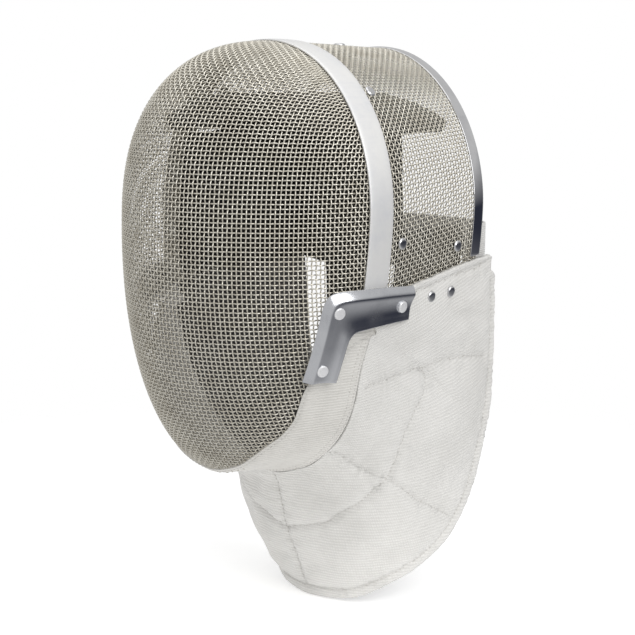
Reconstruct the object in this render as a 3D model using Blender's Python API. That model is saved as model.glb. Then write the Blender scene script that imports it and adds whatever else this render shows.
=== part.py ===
"""Fencing mask, built as separate pieces at real size.

The wearer faces -Y, the wearer's left is +X and up is +Z. Sizes are in metres.
Heights in the tables are measured from the widest level of the mask, and every
object is then placed so that the world origin is the point where the top of the
head touches the crown liner.
"""

import bmesh
import bpy
import math
from mathutils import Vector

# Overall shape of the wire shell
HALF_WIDTH = 0.107
CROWN_HEIGHT = 0.122
FRONT_DEPTH = 0.112
CHIN_DROP = 0.184
JAW_DROP = 0.058
BAND_LEAN = 0.035

# Roundness of the shell, as exponents of its curves, and how far each would run down
PLAN_ROUNDNESS = 1.9
ARCH_ROUNDNESS = 2.02
BROW_ROUNDNESS = 2.7
CHEEK_ROUNDNESS = 1.86
CHEEK_LENGTH = 0.2275
FACE_ROUNDNESS = 2.43
FACE_LENGTH = 0.1985

# Back opening
REAR_DEPTH = 0.114
REAR_TAPER = 0.004
REAR_DIP = 0.003
REAR_ROUNDNESS = 1.95
REAR_HALF_WIDTH = HALF_WIDTH - REAR_TAPER
REAR_HEIGHT = CROWN_HEIGHT - REAR_DIP

# Steel pieces
MESH_THICKNESS = 0.002
CENTRE_BAND_WIDTH = 0.0238
REAR_BAND_WIDTH = 0.0108
BAND_THICKNESS = 0.0012
BAND_END_GAP = 0.003
CENTRE_END_GAP = 0.007
BRACKET_THICKNESS = 0.0016

# Rivet heads
BRACKET_RIVET_RADIUS = 0.0042
BRACKET_RIVET_HEIGHT = 0.0016
MESH_RIVET_RADIUS = 0.0045
MESH_RIVET_HEIGHT = 0.0022

# Cloth pieces
BIB_THICKNESS = 0.0045
BORDER_THICKNESS = 0.0025
BIB_DROP = 0.122
STRAP_WIDTH = 0.030
STRAP_THICKNESS = 0.002
STRAP_TOP = -0.011
STRAP_BULGE = 0.038
STRAP_ROUNDNESS = 2.8
STRAP_LAP = 0.008

# Padded liner
LINER_THICKNESS = 0.012
LINER_EDGE_HEIGHT = 0.066
LINER_RISE = 0.020
LINER_FRONT = -0.038
LINER_BACK = 0.108
LINER_INSET = 0.004
WING_THICKNESS = 0.010
WING_INSET = 0.058
WING_REACH = 0.074
WING_TOP = 0.052
WING_BOTTOM = -0.044
WING_SKEW = 0.012
EAR_PAD_THICKNESS = 0.008
EAR_PAD_TOP = -0.010
EAR_PAD_FRONT = 0.030
EAR_PAD_MARGIN = 0.004
BACK_PAD_THICKNESS = 0.014
BACK_PAD_BACK = 0.080
BACK_PAD_TOP_HALF = 0.045
BACK_PAD_LEVELS = ((-0.090, 0.017), (-0.070, 0.018), (-0.048, 0.019), (-0.042, 0.050), (-0.010, 0.048))
BACK_PAD_BOW = 0.003

# Fits
GAP = 0.0003
BAND_CLEARANCE = 0.0006
CLOTH_CLEARANCE = 0.0008
SEAM_SHARE = 0.004
SEAM_END = 0.06
MESH_TUCK = 0.005
MESH_LAP = 0.3
SEAT_BACK = 0.057

# Jaw rim: share of the way down from the side edge to the chin, and turn of the
# rim round the face, as a share of a right angle from the chin
RIM = (
    (0.000, 1.000),
    (0.175, 0.884),
    (0.373, 0.758),
    (0.476, 0.713),
    (0.635, 0.684),
    (0.730, 0.626),
    (0.794, 0.548),
    (0.873, 0.438),
    (0.937, 0.324),
    (1.000, 0.000),
)

# Bib, from the front centre to the rear corner. Each station holds three points:
# the seam of the border, the middle of the cloth and the hem. A point is
# (across, back, down) in shares of HALF_WIDTH, REAR_DEPTH and the hem's whole drop.
# From SIDE_STATION on, the seam lies on the shell: its across is then a share of the
# shell's own half-width, outside which the cloth keeps its thickness and clearance.
BIB_STATIONS = (
    ((0.000, 0.000, 0.647), (0.000, 0.175, 0.825), (0.000, 0.386, 1.000)),
    ((0.300, 0.018, 0.621), (0.330, 0.220, 0.815), (0.290, 0.440, 0.993)),
    ((0.617, 0.010, 0.540), (0.620, 0.335, 0.775), (0.523, 0.588, 0.957)),
    ((0.979, -0.026, 0.438), (0.800, 0.440, 0.700), (0.665, 0.850, 0.905)),
    ((0.984, -0.053, 0.340), (0.890, 0.550, 0.620), (0.755, 1.040, 0.835)),
    ((0.998, -0.045, 0.272), (0.940, 0.680, 0.530), (0.825, 1.170, 0.730)),
    ((0.995, 0.090, 0.258), (0.955, 0.820, 0.430), (0.880, 1.240, 0.590)),
    ((0.999, 0.420, 0.248), (0.960, 0.960, 0.350), (0.915, 1.262, 0.480)),
    ((0.998, 0.740, 0.228), (0.962, 1.080, 0.280), (0.932, 1.255, 0.370)),
    ((1.000, 0.985, 0.202), (0.964, 1.140, 0.215), (0.944, 1.238, 0.262)),
    ((0.984, 1.165, 0.152), (0.962, 1.185, 0.158), (0.952, 1.215, 0.168)),
)
SIDE_STATION = 3
# Top edge of the bib behind the bracket: (back, down) at the last stations
BIB_TOP_EDGE = (
    (0.000, 0.190),
    (0.395, 0.158),
    (0.720, 0.135),
    (0.965, 0.122),
    (1.145, 0.118),
)
# Row of the RIM table that each station up to the bracket starts from
BORDER_STATIONS = (9.0, 8.0, 6.0, 4.1, 3.1, 2.0, 0.0)
# Station where the border goes under the bracket
BORDER_END = 17.0 / 3.0
SEAM_ROW = 0.30
MIDDLE_ROW = 0.65

# Bracket outline: (back, down) of its outer and inner edge, in shares of
# FRONT_DEPTH and CHIN_DROP, from the rear end of the top leg to the jaw leg's end
BRACKET_EDGES = (
    ((0.330, 0.267), (0.275, 0.389)),
    ((0.180, 0.262), (0.150, 0.391)),
    ((0.000, 0.257), (0.020, 0.394)),
    ((-0.180, 0.255), (-0.062, 0.397)),
    ((-0.310, 0.258), (-0.125, 0.401)),
    ((-0.372, 0.274), (-0.185, 0.407)),
    ((-0.394, 0.310), (-0.222, 0.432)),
    ((-0.411, 0.403), (-0.240, 0.500)),
    ((-0.444, 0.592), (-0.256, 0.595)),
)

# Rivets on one side: (back, up) in shares of REAR_DEPTH and CROWN_HEIGHT
MESH_RIVETS = ((0.205, 0.710), (0.215, -0.150), (0.795, -0.205))
MESH_RIVET_TOP_BACK = 0.600
BIB_RIVETS = ((0.510, -0.480), (0.715, -0.468))
# Rivets on the bracket: station and share from its outer to its inner edge
BRACKET_RIVETS = ((0.7, 0.56), (5.25, 0.38), (7.7, 0.42))

HEM_DROP = CHIN_DROP + BIB_DROP
LINER_UNDERSIDE = LINER_EDGE_HEIGHT + LINER_RISE - LINER_THICKNESS
SEAT = Vector((0.0, SEAT_BACK, LINER_UNDERSIDE))

COLOURS = {
    "mesh_steel": ((0.50, 0.48, 0.44), 0.35, 1.0),
    "satin_steel": ((0.68, 0.68, 0.66), 0.30, 1.0),
    "polished_steel": ((0.62, 0.63, 0.65), 0.12, 1.0),
    "bib_cloth": ((0.72, 0.70, 0.66), 0.95, 0.0),
    "strap_elastic": ((0.78, 0.78, 0.76), 0.90, 0.0),
    "liner_cloth": ((0.025, 0.024, 0.023), 0.95, 0.0),
}


def clear_scene():
    """Remove everything that the file holds at the start."""
    for item in list(bpy.data.objects):
        bpy.data.objects.remove(item, do_unlink=True)


def material(name):
    """Return the named finish, made on first use."""
    found = bpy.data.materials.get(name)
    if found:
        return found
    colour, roughness, metallic = COLOURS[name]
    made = bpy.data.materials.new(name)
    made.use_nodes = True
    shader = made.node_tree.nodes["Principled BSDF"]
    shader.inputs["Base Color"].default_value = (*colour, 1.0)
    shader.inputs["Roughness"].default_value = roughness
    shader.inputs["Metallic"].default_value = metallic
    return made


def add_object(name, mesh, finish):
    """Link a mesh as one named piece, placed from the head seat."""
    mesh.materials.append(material(finish))
    piece = bpy.data.objects.new(name, mesh)
    piece.location = -SEAT
    bpy.context.scene.collection.objects.link(piece)
    return piece


def span(start, end, count):
    """Return count evenly spaced values from start to end."""
    return [start + (end - start) * i / (count - 1) for i in range(count)]


def shared_slope(first, second):
    """Slope between two steps that lets a curve through them without overshoot."""
    if first * second <= 0.0:
        return 0.0
    return 2.0 * first * second / (first + second)


def smooth(rows, place):
    """Read a smooth curve through evenly numbered rows at a fractional place."""
    last = len(rows) - 1
    low = min(int(max(place, 0.0)), last - 1)
    t = place - low
    before = rows[max(low - 1, 0)]
    after = rows[min(low + 2, last)]
    here = rows[low]
    there = rows[low + 1]
    point = []
    for p0, p1, p2, p3 in zip(before, here, there, after):
        rise = p2 - p1
        slope_here = shared_slope(p1 - p0, rise) if low > 0 else rise
        slope_there = shared_slope(rise, p3 - p2) if low + 1 < last else rise
        point.append(
            p1
            + slope_here * t
            + (3.0 * rise - 2.0 * slope_here - slope_there) * t * t
            + (slope_here + slope_there - 2.0 * rise) * t * t * t
        )
    return point


def arc_share(share, roundness):
    """Height left of a rounded profile at a share of its length."""
    share = min(max(share, 0.0), 1.0)
    return max(1.0 - share**roundness, 0.0) ** (1.0 / roundness)


def half_width(height):
    """Half-width of the shell at the centre band, at a height."""
    if height >= 0.0:
        return HALF_WIDTH * arc_share(height / CROWN_HEIGHT, ARCH_ROUNDNESS)
    return HALF_WIDTH * arc_share(-height / CHEEK_LENGTH, CHEEK_ROUNDNESS)


def face_depth(height):
    """Depth of the face mesh in front of the centre band, at a height."""
    if height >= 0.0:
        return FRONT_DEPTH * arc_share(height / CROWN_HEIGHT, BROW_ROUNDNESS)
    return FRONT_DEPTH * arc_share(-height / FACE_LENGTH, FACE_ROUNDNESS)


def band_back(height):
    """How far back the middle of the centre band lies at a height."""
    return BAND_LEAN * height


def face_point(height, turn):
    """Point of the face mesh at a height, turned from the front by an angle."""
    side = math.sin(turn)
    front = math.cos(turn)
    reach = (abs(side) ** PLAN_ROUNDNESS + abs(front) ** PLAN_ROUNDNESS) ** (-1.0 / PLAN_ROUNDNESS)
    return Vector((
        half_width(height) * side * reach,
        band_back(height) - face_depth(height) * front * reach,
        height,
    ))


def outward_normal(along, upward, point):
    """Direction square to two tangents, on the side away from the head."""
    normal = along.cross(upward).normalized()
    return normal if normal.dot(point) > 0.0 else -normal


def face_normal(height, turn):
    """Outward direction of the face mesh."""
    step = 0.001
    turn_step = 0.01
    along = face_point(height, turn + turn_step) - face_point(height, turn - turn_step)
    upward = face_point(height + step, turn) - face_point(height - step, turn)
    return outward_normal(along, upward, face_point(height, turn))


def inside_face(point):
    """Tell whether a point lies within the face mesh."""
    width = half_width(point.z)
    depth = face_depth(point.z)
    if width <= 0.0 or depth <= 0.0:
        return False
    back = min(point.y - band_back(point.z), 0.0)
    return (abs(point.x) / width) ** PLAN_ROUNDNESS + (-back / depth) ** PLAN_ROUNDNESS < 1.0


def face_hit(direction):
    """Point where a ray from the middle of the widest level leaves the face mesh."""
    near = 0.0
    far = 2.0 * max(FRONT_DEPTH, CHIN_DROP, HALF_WIDTH, CROWN_HEIGHT)
    for _ in range(40):
        middle = 0.5 * (near + far)
        if inside_face(direction * middle):
            near = middle
        else:
            far = middle
    return direction * near


def rim_place(row):
    """Height and turn of the jaw rim at a row of its table, whole or between two."""
    rows = list(RIM) + [(down, -turn) for down, turn in reversed(RIM[:-1])]
    down, turn = smooth(rows, row)
    return -(JAW_DROP + (CHIN_DROP - JAW_DROP) * down), turn * math.pi / 2.0


def arch_point(place, width, height, roundness, end, back):
    """Point of an arch over the head, from its crown at 0 to its ends at +1 and -1.

    The arch is rounded above the widest level and follows the cheeks below it.
    """
    run = abs(place) * (math.pi / 2.0 * height + end)
    turn = run / height
    if turn < math.pi / 2.0:
        side = math.sin(turn)
        up = math.cos(turn)
        reach = (side**roundness + up**roundness) ** (-1.0 / roundness)
        x = width * side * reach
        z = height * up * reach
    else:
        z = -(run - math.pi / 2.0 * height)
        x = width * half_width(z) / HALF_WIDTH
    return Vector((math.copysign(x, place), back + band_back(z), z))


def crown_point(place, back_share):
    """Point of the back mesh between the centre band and the rear band."""
    front_end = JAW_DROP + MESH_TUCK
    rear_end = HEM_DROP * BIB_TOP_EDGE[3][1] + MESH_TUCK
    front = arch_point(place, HALF_WIDTH, CROWN_HEIGHT, ARCH_ROUNDNESS, front_end, 0.0)
    rear = arch_point(
        place, REAR_HALF_WIDTH, REAR_HEIGHT, REAR_ROUNDNESS, rear_end, REAR_DEPTH
    )
    return front.lerp(rear, back_share)


def side_point(back, height):
    """Point of the left side of the shell at a distance back and a height."""
    if back < band_back(height):
        depth = face_depth(height)
        share = min((band_back(height) - back) / depth, 1.0)
        x = half_width(height) * arc_share(share, PLAN_ROUNDNESS)
    else:
        share = (back - band_back(height)) / REAR_DEPTH
        front = half_width(height)
        if height > 0.0:
            rear = REAR_HALF_WIDTH * arc_share(height / REAR_HEIGHT, REAR_ROUNDNESS)
        else:
            rear = REAR_HALF_WIDTH * half_width(height) / HALF_WIDTH
        x = front + (rear - front) * share
    return Vector((x, back, height))


def side_normal(back, height):
    """Outward direction of the left side of the shell."""
    step = 0.002
    along = side_point(back + step, height) - side_point(back - step, height)
    upward = side_point(back, height + step) - side_point(back, height - step)
    return outward_normal(along, upward, side_point(back, height))


def grid_mesh(name, rows):
    """Make a quad grid from rows of points."""
    width = len(rows[0])
    points = [tuple(point) for row in rows for point in row]
    faces = []
    for i in range(len(rows) - 1):
        for j in range(width - 1):
            first = i * width + j
            faces.append((first, first + 1, first + width + 1, first + width))
    mesh = bpy.data.meshes.new(name)
    mesh.from_pydata(points, [], faces)
    return mesh


def sheet(name, rows, thickness, finish):
    """Make a sheet of even thickness whose rows lie on its outer face."""
    piece = add_object(name, grid_mesh(name, rows), finish)
    solid = piece.modifiers.new("Thickness", "SOLIDIFY")
    solid.thickness = thickness
    solid.offset = -1.0
    solid.use_even_offset = True
    solid.use_quality_normals = True
    return piece


def mirrored(rows):
    """Mirror rows to the wearer's right and keep their faces outward."""
    return [[Vector((-p.x, p.y, p.z)) for p in reversed(row)] for row in rows]


def front_mesh():
    """Face mesh: spokes from its foremost point to the band and the jaw rim."""
    arch_steps = 13
    rim_steps = 10
    rings = 12
    edge = []
    for place in span(0.0, 1.0, arch_steps):
        point = arch_point(place, HALF_WIDTH, CROWN_HEIGHT, ARCH_ROUNDNESS, JAW_DROP, -GAP)
        edge.append(point)
    edge += [face_point(*rim_place(row)) for row in span(0.0, len(RIM) - 1.0, rim_steps)[1:]]
    left = edge[:-1]
    right = [Vector((-p.x, p.y, p.z)) for p in reversed(edge[1:])]
    loop = left + right
    mesh = bmesh.new()
    pole = mesh.verts.new(face_hit(Vector((0.0, -1.0, 0.0))))
    forward = Vector((0.0, -1.0, 0.0))
    spokes = []
    for point in loop:
        aim = point.normalized()
        lift = forward.angle(aim)
        sideways = (aim - forward * forward.dot(aim)).normalized()
        spoke = []
        for ring in range(1, rings):
            turn = lift * ring / rings
            way = forward * math.cos(turn) + sideways * math.sin(turn)
            spoke.append(mesh.verts.new(face_hit(way)))
        spoke.append(mesh.verts.new(point))
        spokes.append(spoke)
    for spoke, following in zip(spokes, spokes[1:] + spokes[:1]):
        mesh.faces.new((pole, spoke[0], following[0]))
        for i in range(rings - 1):
            mesh.faces.new((spoke[i], spoke[i + 1], following[i + 1], following[i]))
    bmesh.ops.recalc_face_normals(mesh, faces=mesh.faces)
    if mesh.faces[0].normal.y > 0.0:
        bmesh.ops.reverse_faces(mesh, faces=mesh.faces)
    data = bpy.data.meshes.new("front_mesh")
    mesh.to_mesh(data)
    mesh.free()
    piece = add_object("front_mesh", data, "mesh_steel")
    solid = piece.modifiers.new("Thickness", "SOLIDIFY")
    solid.thickness = MESH_THICKNESS
    solid.offset = -1.0
    solid.use_even_offset = True


def back_mesh():
    """Crown and side mesh between the two bands."""
    front_share = GAP / REAR_DEPTH
    rear_share = 1.0 + MESH_LAP * REAR_BAND_WIDTH / REAR_DEPTH
    rows = []
    for place in span(1.0, -1.0, 45):
        rows.append([crown_point(place, share) for share in span(front_share, rear_share, 5)])
    sheet("back_mesh", rows, MESH_THICKNESS, "mesh_steel")


def arch_band(name, arch, width, end, finish):
    """Steel strip bent over an arch, lying on the mesh."""
    wide, high, roundness, back = arch
    lift = BAND_CLEARANCE + BAND_THICKNESS
    rows = []
    for place in span(1.0, -1.0, 49):
        middle = arch_point(place, wide + lift, high + lift, roundness, end, back)
        rows.append([middle + Vector((0.0, side * width, 0.0)) for side in (-0.5, 0.0, 0.5)])
    sheet(name, rows, BAND_THICKNESS, finish)


def bands():
    """Centre band and rear band."""
    centre = (HALF_WIDTH, CROWN_HEIGHT, ARCH_ROUNDNESS, 0.0)
    arch_band("centre_band", centre, CENTRE_BAND_WIDTH, JAW_DROP - CENTRE_END_GAP, "satin_steel")
    rear = (REAR_HALF_WIDTH, REAR_HEIGHT, REAR_ROUNDNESS, REAR_DEPTH)
    rear_end = HEM_DROP * BIB_TOP_EDGE[3][1] - BAND_END_GAP
    arch_band("rear_band", rear, REAR_BAND_WIDTH, rear_end, "polished_steel")


def under_bracket(along):
    """Share of the way from the border's end to the end of the rim."""
    corner = len(BORDER_STATIONS) - 1.0
    return min(max((along - BORDER_END) / (corner - BORDER_END), 0.0), 1.0)


def bib_edge(place):
    """Upper edge of the bib's outer face: along the jaw rim, then along the mesh's side."""
    along = abs(place)
    corner = len(BORDER_STATIONS) - 1.0
    thin = GAP + BORDER_THICKNESS + CLOTH_CLEARANCE
    thick = GAP + BIB_THICKNESS + CLOTH_CLEARANCE
    lift = thin + (thick - thin) * under_bracket(along)
    if along <= corner:
        on_rim = rim_place(smooth([(row,) for row in BORDER_STATIONS], along)[0])
        edge = face_point(*on_rim) + face_normal(*on_rim) * lift
    else:
        back, down = smooth(BIB_TOP_EDGE, along - corner)
        edge = side_point(back * REAR_DEPTH, -down * HEM_DROP) + Vector((lift, 0.0, 0.0))
    if along == 0.0:
        edge.x = 0.0
    return Vector((math.copysign(edge.x, place), edge.y, edge.z))


def bib_station(number, row):
    """Point of the seam (row 0), the middle or the hem (row 2) at a numbered station."""
    across, back, down = BIB_STATIONS[abs(number)][row]
    seat = side_point(back * REAR_DEPTH, -down * HEM_DROP)
    if row == 0 and abs(number) >= SIDE_STATION:
        x = across * seat.x + GAP + BIB_THICKNESS + CLOTH_CLEARANCE
    else:
        x = across * HALF_WIDTH
    return Vector((math.copysign(x, number), seat.y, seat.z))


def bib_point(place, fall):
    """Point of the bib's outer face.

    place runs from -10 at the right rear corner over 0 at the front to 10, and
    fall runs from 0 at the rim to 1 at the hem.
    """
    last = len(BIB_STATIONS) - 1
    columns = [bib_edge(place)]
    for row in range(3):
        line = [bib_station(k, row) for k in range(-last, last + 1)]
        columns.append(Vector(smooth(line, place + last)))
    levels = (0.0, SEAM_ROW, MIDDLE_ROW, 1.0)
    row = sum(fall > level for level in levels[1:3])
    part = (fall - levels[row]) / (levels[row + 1] - levels[row])
    return Vector(smooth(columns, row + part))


def seam_fall(place):
    """Fall at which the border ends and the bib starts, at a place.

    Under the bracket the seam runs up to the edge of the mesh.
    """
    past = under_bracket(abs(place))
    return SEAM_ROW * (1.0 - past * past * (3.0 - 2.0 * past))


def bib():
    """Border along the jaw rim and the padded bib below it."""
    last = len(BIB_STATIONS) - 1.0
    border = []
    for place in span(SEAM_END - BORDER_END, BORDER_END - SEAM_END, 35):
        end = seam_fall(place) - SEAM_SHARE
        border.append([bib_point(place, fall) for fall in span(0.0, end, 4)])
    sheet("bib_border", border, BORDER_THICKNESS, "bib_cloth")
    body = []
    for place in span(-last, last, 61):
        start = seam_fall(place) + SEAM_SHARE * math.copysign(1.0, BORDER_END + 0.01 - abs(place))
        body.append([bib_point(place, fall) for fall in span(max(start, 0.0), 1.0, 11)])
    sheet("bib", body, BIB_THICKNESS, "bib_cloth")


def bracket_point(station, share, lift):
    """Point of the left bracket, lifted from the shell, and its outward direction."""
    edges = [(*outer, *inner) for outer, inner in BRACKET_EDGES]
    back_out, down_out, back_in, down_in = smooth(edges, station)
    back = (back_out + (back_in - back_out) * share) * FRONT_DEPTH
    height = -(down_out + (down_in - down_out) * share) * CHIN_DROP
    outward = side_normal(back, height)
    return side_point(back, height) + outward * lift, outward


def brackets():
    """L-shaped plates over the lower corners of the mesh."""
    lift = 2.0 * GAP + BIB_THICKNESS + CLOTH_CLEARANCE + BRACKET_THICKNESS
    rows = []
    for station in span(0.0, len(BRACKET_EDGES) - 1.0, 17):
        rows.append([bracket_point(station, share, lift)[0] for share in span(1.0, 0.0, 5)])
    sheet("bracket_left", rows, BRACKET_THICKNESS, "polished_steel")
    sheet("bracket_right", mirrored(rows), BRACKET_THICKNESS, "polished_steel")


def rivet(name, seat, outward, radius, height, rings):
    """Round rivet head on a surface; rings hold (radius share, height share)."""
    mesh = bmesh.new()
    sides = 14
    base = seat + outward * GAP
    across = outward.orthogonal().normalized()
    beside = outward.cross(across)
    loops = []
    for wide, up in rings:
        loop = []
        for i in range(sides):
            turn = 2.0 * math.pi * i / sides
            around = across * math.cos(turn) + beside * math.sin(turn)
            loop.append(mesh.verts.new(base + around * (radius * wide) + outward * (height * up)))
        loops.append(loop)
    for lower, upper in zip(loops, loops[1:]):
        for i in range(sides):
            j = (i + 1) % sides
            mesh.faces.new((lower[i], lower[j], upper[j], upper[i]))
    mesh.faces.new(list(reversed(loops[0])))
    mesh.faces.new(loops[-1])
    data = bpy.data.meshes.new(name)
    mesh.to_mesh(data)
    mesh.free()
    add_object(name, data, "polished_steel")


FLAT_HEAD = ((1.0, 0.0), (1.0, 0.65), (0.86, 1.0))
DOMED_HEAD = ((1.0, 0.0), (0.94, 0.45), (0.72, 0.82), (0.35, 1.0))


def rivets():
    """All rivet heads, both sides."""
    for side, name in ((1.0, "left"), (-1.0, "right")):
        for number, (station, share) in enumerate(BRACKET_RIVETS, 1):
            lift = 2.0 * GAP + BIB_THICKNESS + CLOTH_CLEARANCE + BRACKET_THICKNESS
            seat, outward = bracket_point(station, share, lift)
            place_rivet(f"bracket_rivet_{name}_{number}", seat, outward, side, FLAT_HEAD)
        for number, (back, up) in enumerate(MESH_RIVETS, 1):
            seat = side_point(back * REAR_DEPTH, up * CROWN_HEIGHT)
            outward = side_normal(seat.y, seat.z)
            place_rivet(f"mesh_rivet_{name}_{number}", seat, outward, side, DOMED_HEAD)
        for number, (back, up) in enumerate(BIB_RIVETS, 1):
            outward = side_normal(back * REAR_DEPTH, up * CROWN_HEIGHT)
            seat = side_point(back * REAR_DEPTH, up * CROWN_HEIGHT)
            seat += outward * (GAP + BIB_THICKNESS + CLOTH_CLEARANCE)
            place_rivet(f"bib_rivet_{name}_{number}", seat, outward, side, DOMED_HEAD)
    top = crown_point(0.0, MESH_RIVET_TOP_BACK)
    place_rivet("mesh_rivet_top", top, Vector((0.0, 0.0, 1.0)), 1.0, DOMED_HEAD)


def place_rivet(name, seat, outward, side, head):
    """Place one rivet head on the left, or mirrored on the right."""
    seat = Vector((seat.x * side, seat.y, seat.z))
    outward = Vector((outward.x * side, outward.y, outward.z))
    if head is FLAT_HEAD:
        rivet(name, seat, outward, BRACKET_RIVET_RADIUS, BRACKET_RIVET_HEIGHT, head)
    else:
        rivet(name, seat, outward, MESH_RIVET_RADIUS, MESH_RIVET_HEIGHT, head)


def back_strap():
    """Elastic band from one rear corner round the back opening to the other."""
    inset = MESH_THICKNESS + GAP
    start = REAR_DEPTH - STRAP_LAP
    corner = REAR_DEPTH + 0.5 * REAR_BAND_WIDTH
    wide = side_point(REAR_DEPTH, STRAP_TOP - STRAP_WIDTH).x - inset
    path = [(wide, start), (wide, 0.5 * (start + corner))]
    for turn in span(0.0, math.pi, 23):
        side = math.cos(turn)
        across = math.copysign(abs(side) ** (2.0 / STRAP_ROUNDNESS), side)
        behind = max(math.sin(turn), 0.0) ** (2.0 / STRAP_ROUNDNESS)
        path.append((wide * across, corner + STRAP_BULGE * behind))
    path += [(-wide, 0.5 * (start + corner)), (-wide, start)]
    rows = []
    for x, y in path:
        rows.append([Vector((x, y, STRAP_TOP - STRAP_WIDTH)), Vector((x, y, STRAP_TOP))])
    sheet("back_strap", list(reversed(rows)), STRAP_THICKNESS, "strap_elastic")


def liner_height(share):
    """Height of the crown liner's top face at a share of its half-width."""
    return LINER_EDGE_HEIGHT + LINER_RISE * (1.0 - share * share)


def liner_underside(across, back):
    """Height just below the crown liner at a distance to the side and back."""
    half = side_point(back, LINER_EDGE_HEIGHT).x - LINER_INSET
    share = min(across / half, 1.0)
    steepness = math.hypot(1.0, 2.0 * LINER_RISE * share / half)
    return liner_height(share) - LINER_THICKNESS * steepness - 3.0 * GAP


def crown_liner():
    """Padded sheet slung under the crown from side to side."""
    rows = []
    for share in span(1.0, -1.0, 15):
        height = liner_height(share)
        row = []
        for back in span(LINER_FRONT, LINER_BACK, 9):
            edge = side_point(back, LINER_EDGE_HEIGHT).x - LINER_INSET
            row.append(Vector((share * edge, back, height)))
        rows.append(row)
    sheet("crown_liner", rows, LINER_THICKNESS, "liner_cloth")


def side_liners():
    """Padded wings that lead from the centre band in towards the head."""
    inset = MESH_THICKNESS + 2.0 * GAP
    rows = []
    for up in span(0.0, 1.0, 9):
        row = []
        for share in span(0.0, 1.0, 7):
            bend = WING_INSET * share * share * (3.0 - 2.0 * share)
            top = liner_underside(half_width(WING_TOP) - inset - bend, WING_REACH * share)
            bottom = WING_BOTTOM - WING_SKEW * (1.0 - share)
            height = bottom + (top - bottom) * up
            back = band_back(height) + WING_REACH * share
            row.append(Vector((half_width(height) - inset - bend, back, height)))
        rows.append(row)
    rows = [list(reversed(row)) for row in rows]
    rows = [list(row) for row in zip(*rows)]
    sheet("side_liner_left", rows, WING_THICKNESS, "liner_cloth")
    sheet("side_liner_right", mirrored(rows), WING_THICKNESS, "liner_cloth")


def ear_pads():
    """Pads inside the back mesh, between the window and the bib."""
    inset = MESH_THICKNESS + GAP
    rows = []
    rear = REAR_DEPTH - STRAP_LAP - EAR_PAD_MARGIN
    for height in span(EAR_PAD_MARGIN - JAW_DROP, EAR_PAD_TOP, 5):
        row = []
        for back in span(EAR_PAD_FRONT, rear, 6):
            row.append(side_point(back, height) - Vector((inset, 0.0, 0.0)))
        rows.append(row)
    rows = [list(reversed(row)) for row in zip(*rows)]
    sheet("ear_pad_left", rows, EAR_PAD_THICKNESS, "liner_cloth")
    sheet("ear_pad_right", mirrored(rows), EAR_PAD_THICKNESS, "liner_cloth")


def back_pad():
    """Pad behind the head with a tongue below it, hung under the crown liner."""
    rows = []
    for side in span(-1.0, 1.0, 9):
        top = liner_underside(abs(side) * BACK_PAD_TOP_HALF, BACK_PAD_BACK)
        row = []
        for height, half in BACK_PAD_LEVELS + ((0.5 * top, 0.047), (top, BACK_PAD_TOP_HALF)):
            bow = BACK_PAD_BOW * (side * half / BACK_PAD_TOP_HALF) ** 2
            row.append(Vector((side * half, BACK_PAD_BACK - bow, height)))
        rows.append(row)
    sheet("back_pad", list(reversed(rows)), BACK_PAD_THICKNESS, "liner_cloth")


def build():
    """Build every piece of the mask."""
    clear_scene()
    front_mesh()
    back_mesh()
    bands()
    bib()
    brackets()
    rivets()
    back_strap()
    crown_liner()
    side_liners()
    ear_pads()
    back_pad()


build()
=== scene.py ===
# %% [markdown]
# A fencing mask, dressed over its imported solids.
#
# The solids give every piece its place and size. This script gives the mask its
# looks: woven wire, bent steel strips, pressed brackets, a quilted bib and a dark
# padded liner. It builds the pieces from the outside in and ends with the camera.

# %% Load the solids as a fixed frame
import math

import bmesh
import bpy
import numpy as np
from mathutils import Matrix, Vector, noise
from mathutils.bvhtree import BVHTree
from mathutils.kdtree import KDTree


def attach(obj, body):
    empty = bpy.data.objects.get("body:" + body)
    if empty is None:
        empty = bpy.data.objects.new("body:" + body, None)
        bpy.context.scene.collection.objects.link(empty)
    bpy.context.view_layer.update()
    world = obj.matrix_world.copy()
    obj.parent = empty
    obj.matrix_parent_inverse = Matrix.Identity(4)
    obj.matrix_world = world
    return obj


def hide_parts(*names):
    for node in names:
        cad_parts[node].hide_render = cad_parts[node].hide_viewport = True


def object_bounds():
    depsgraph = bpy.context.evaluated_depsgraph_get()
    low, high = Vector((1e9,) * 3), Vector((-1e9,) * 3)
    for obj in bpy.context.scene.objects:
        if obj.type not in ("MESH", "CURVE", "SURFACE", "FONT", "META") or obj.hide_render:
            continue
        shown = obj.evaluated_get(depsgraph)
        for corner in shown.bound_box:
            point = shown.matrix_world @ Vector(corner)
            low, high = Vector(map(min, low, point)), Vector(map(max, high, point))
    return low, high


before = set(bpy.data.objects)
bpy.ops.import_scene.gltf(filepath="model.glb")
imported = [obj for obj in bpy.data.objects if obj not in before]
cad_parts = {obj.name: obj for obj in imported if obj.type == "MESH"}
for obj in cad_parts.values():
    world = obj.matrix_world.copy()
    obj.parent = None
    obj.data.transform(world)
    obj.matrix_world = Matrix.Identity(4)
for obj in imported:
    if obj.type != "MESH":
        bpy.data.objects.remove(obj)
cad_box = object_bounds()
print("solids:", len(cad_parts))

# %% [markdown]
# The wire shell is a rounded form: a plan curve at each height, whose width and
# depth follow rounded profiles from the crown to the chin. The same named sizes
# shape the solids, so a piece that follows these curves lies on its solid.

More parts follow.
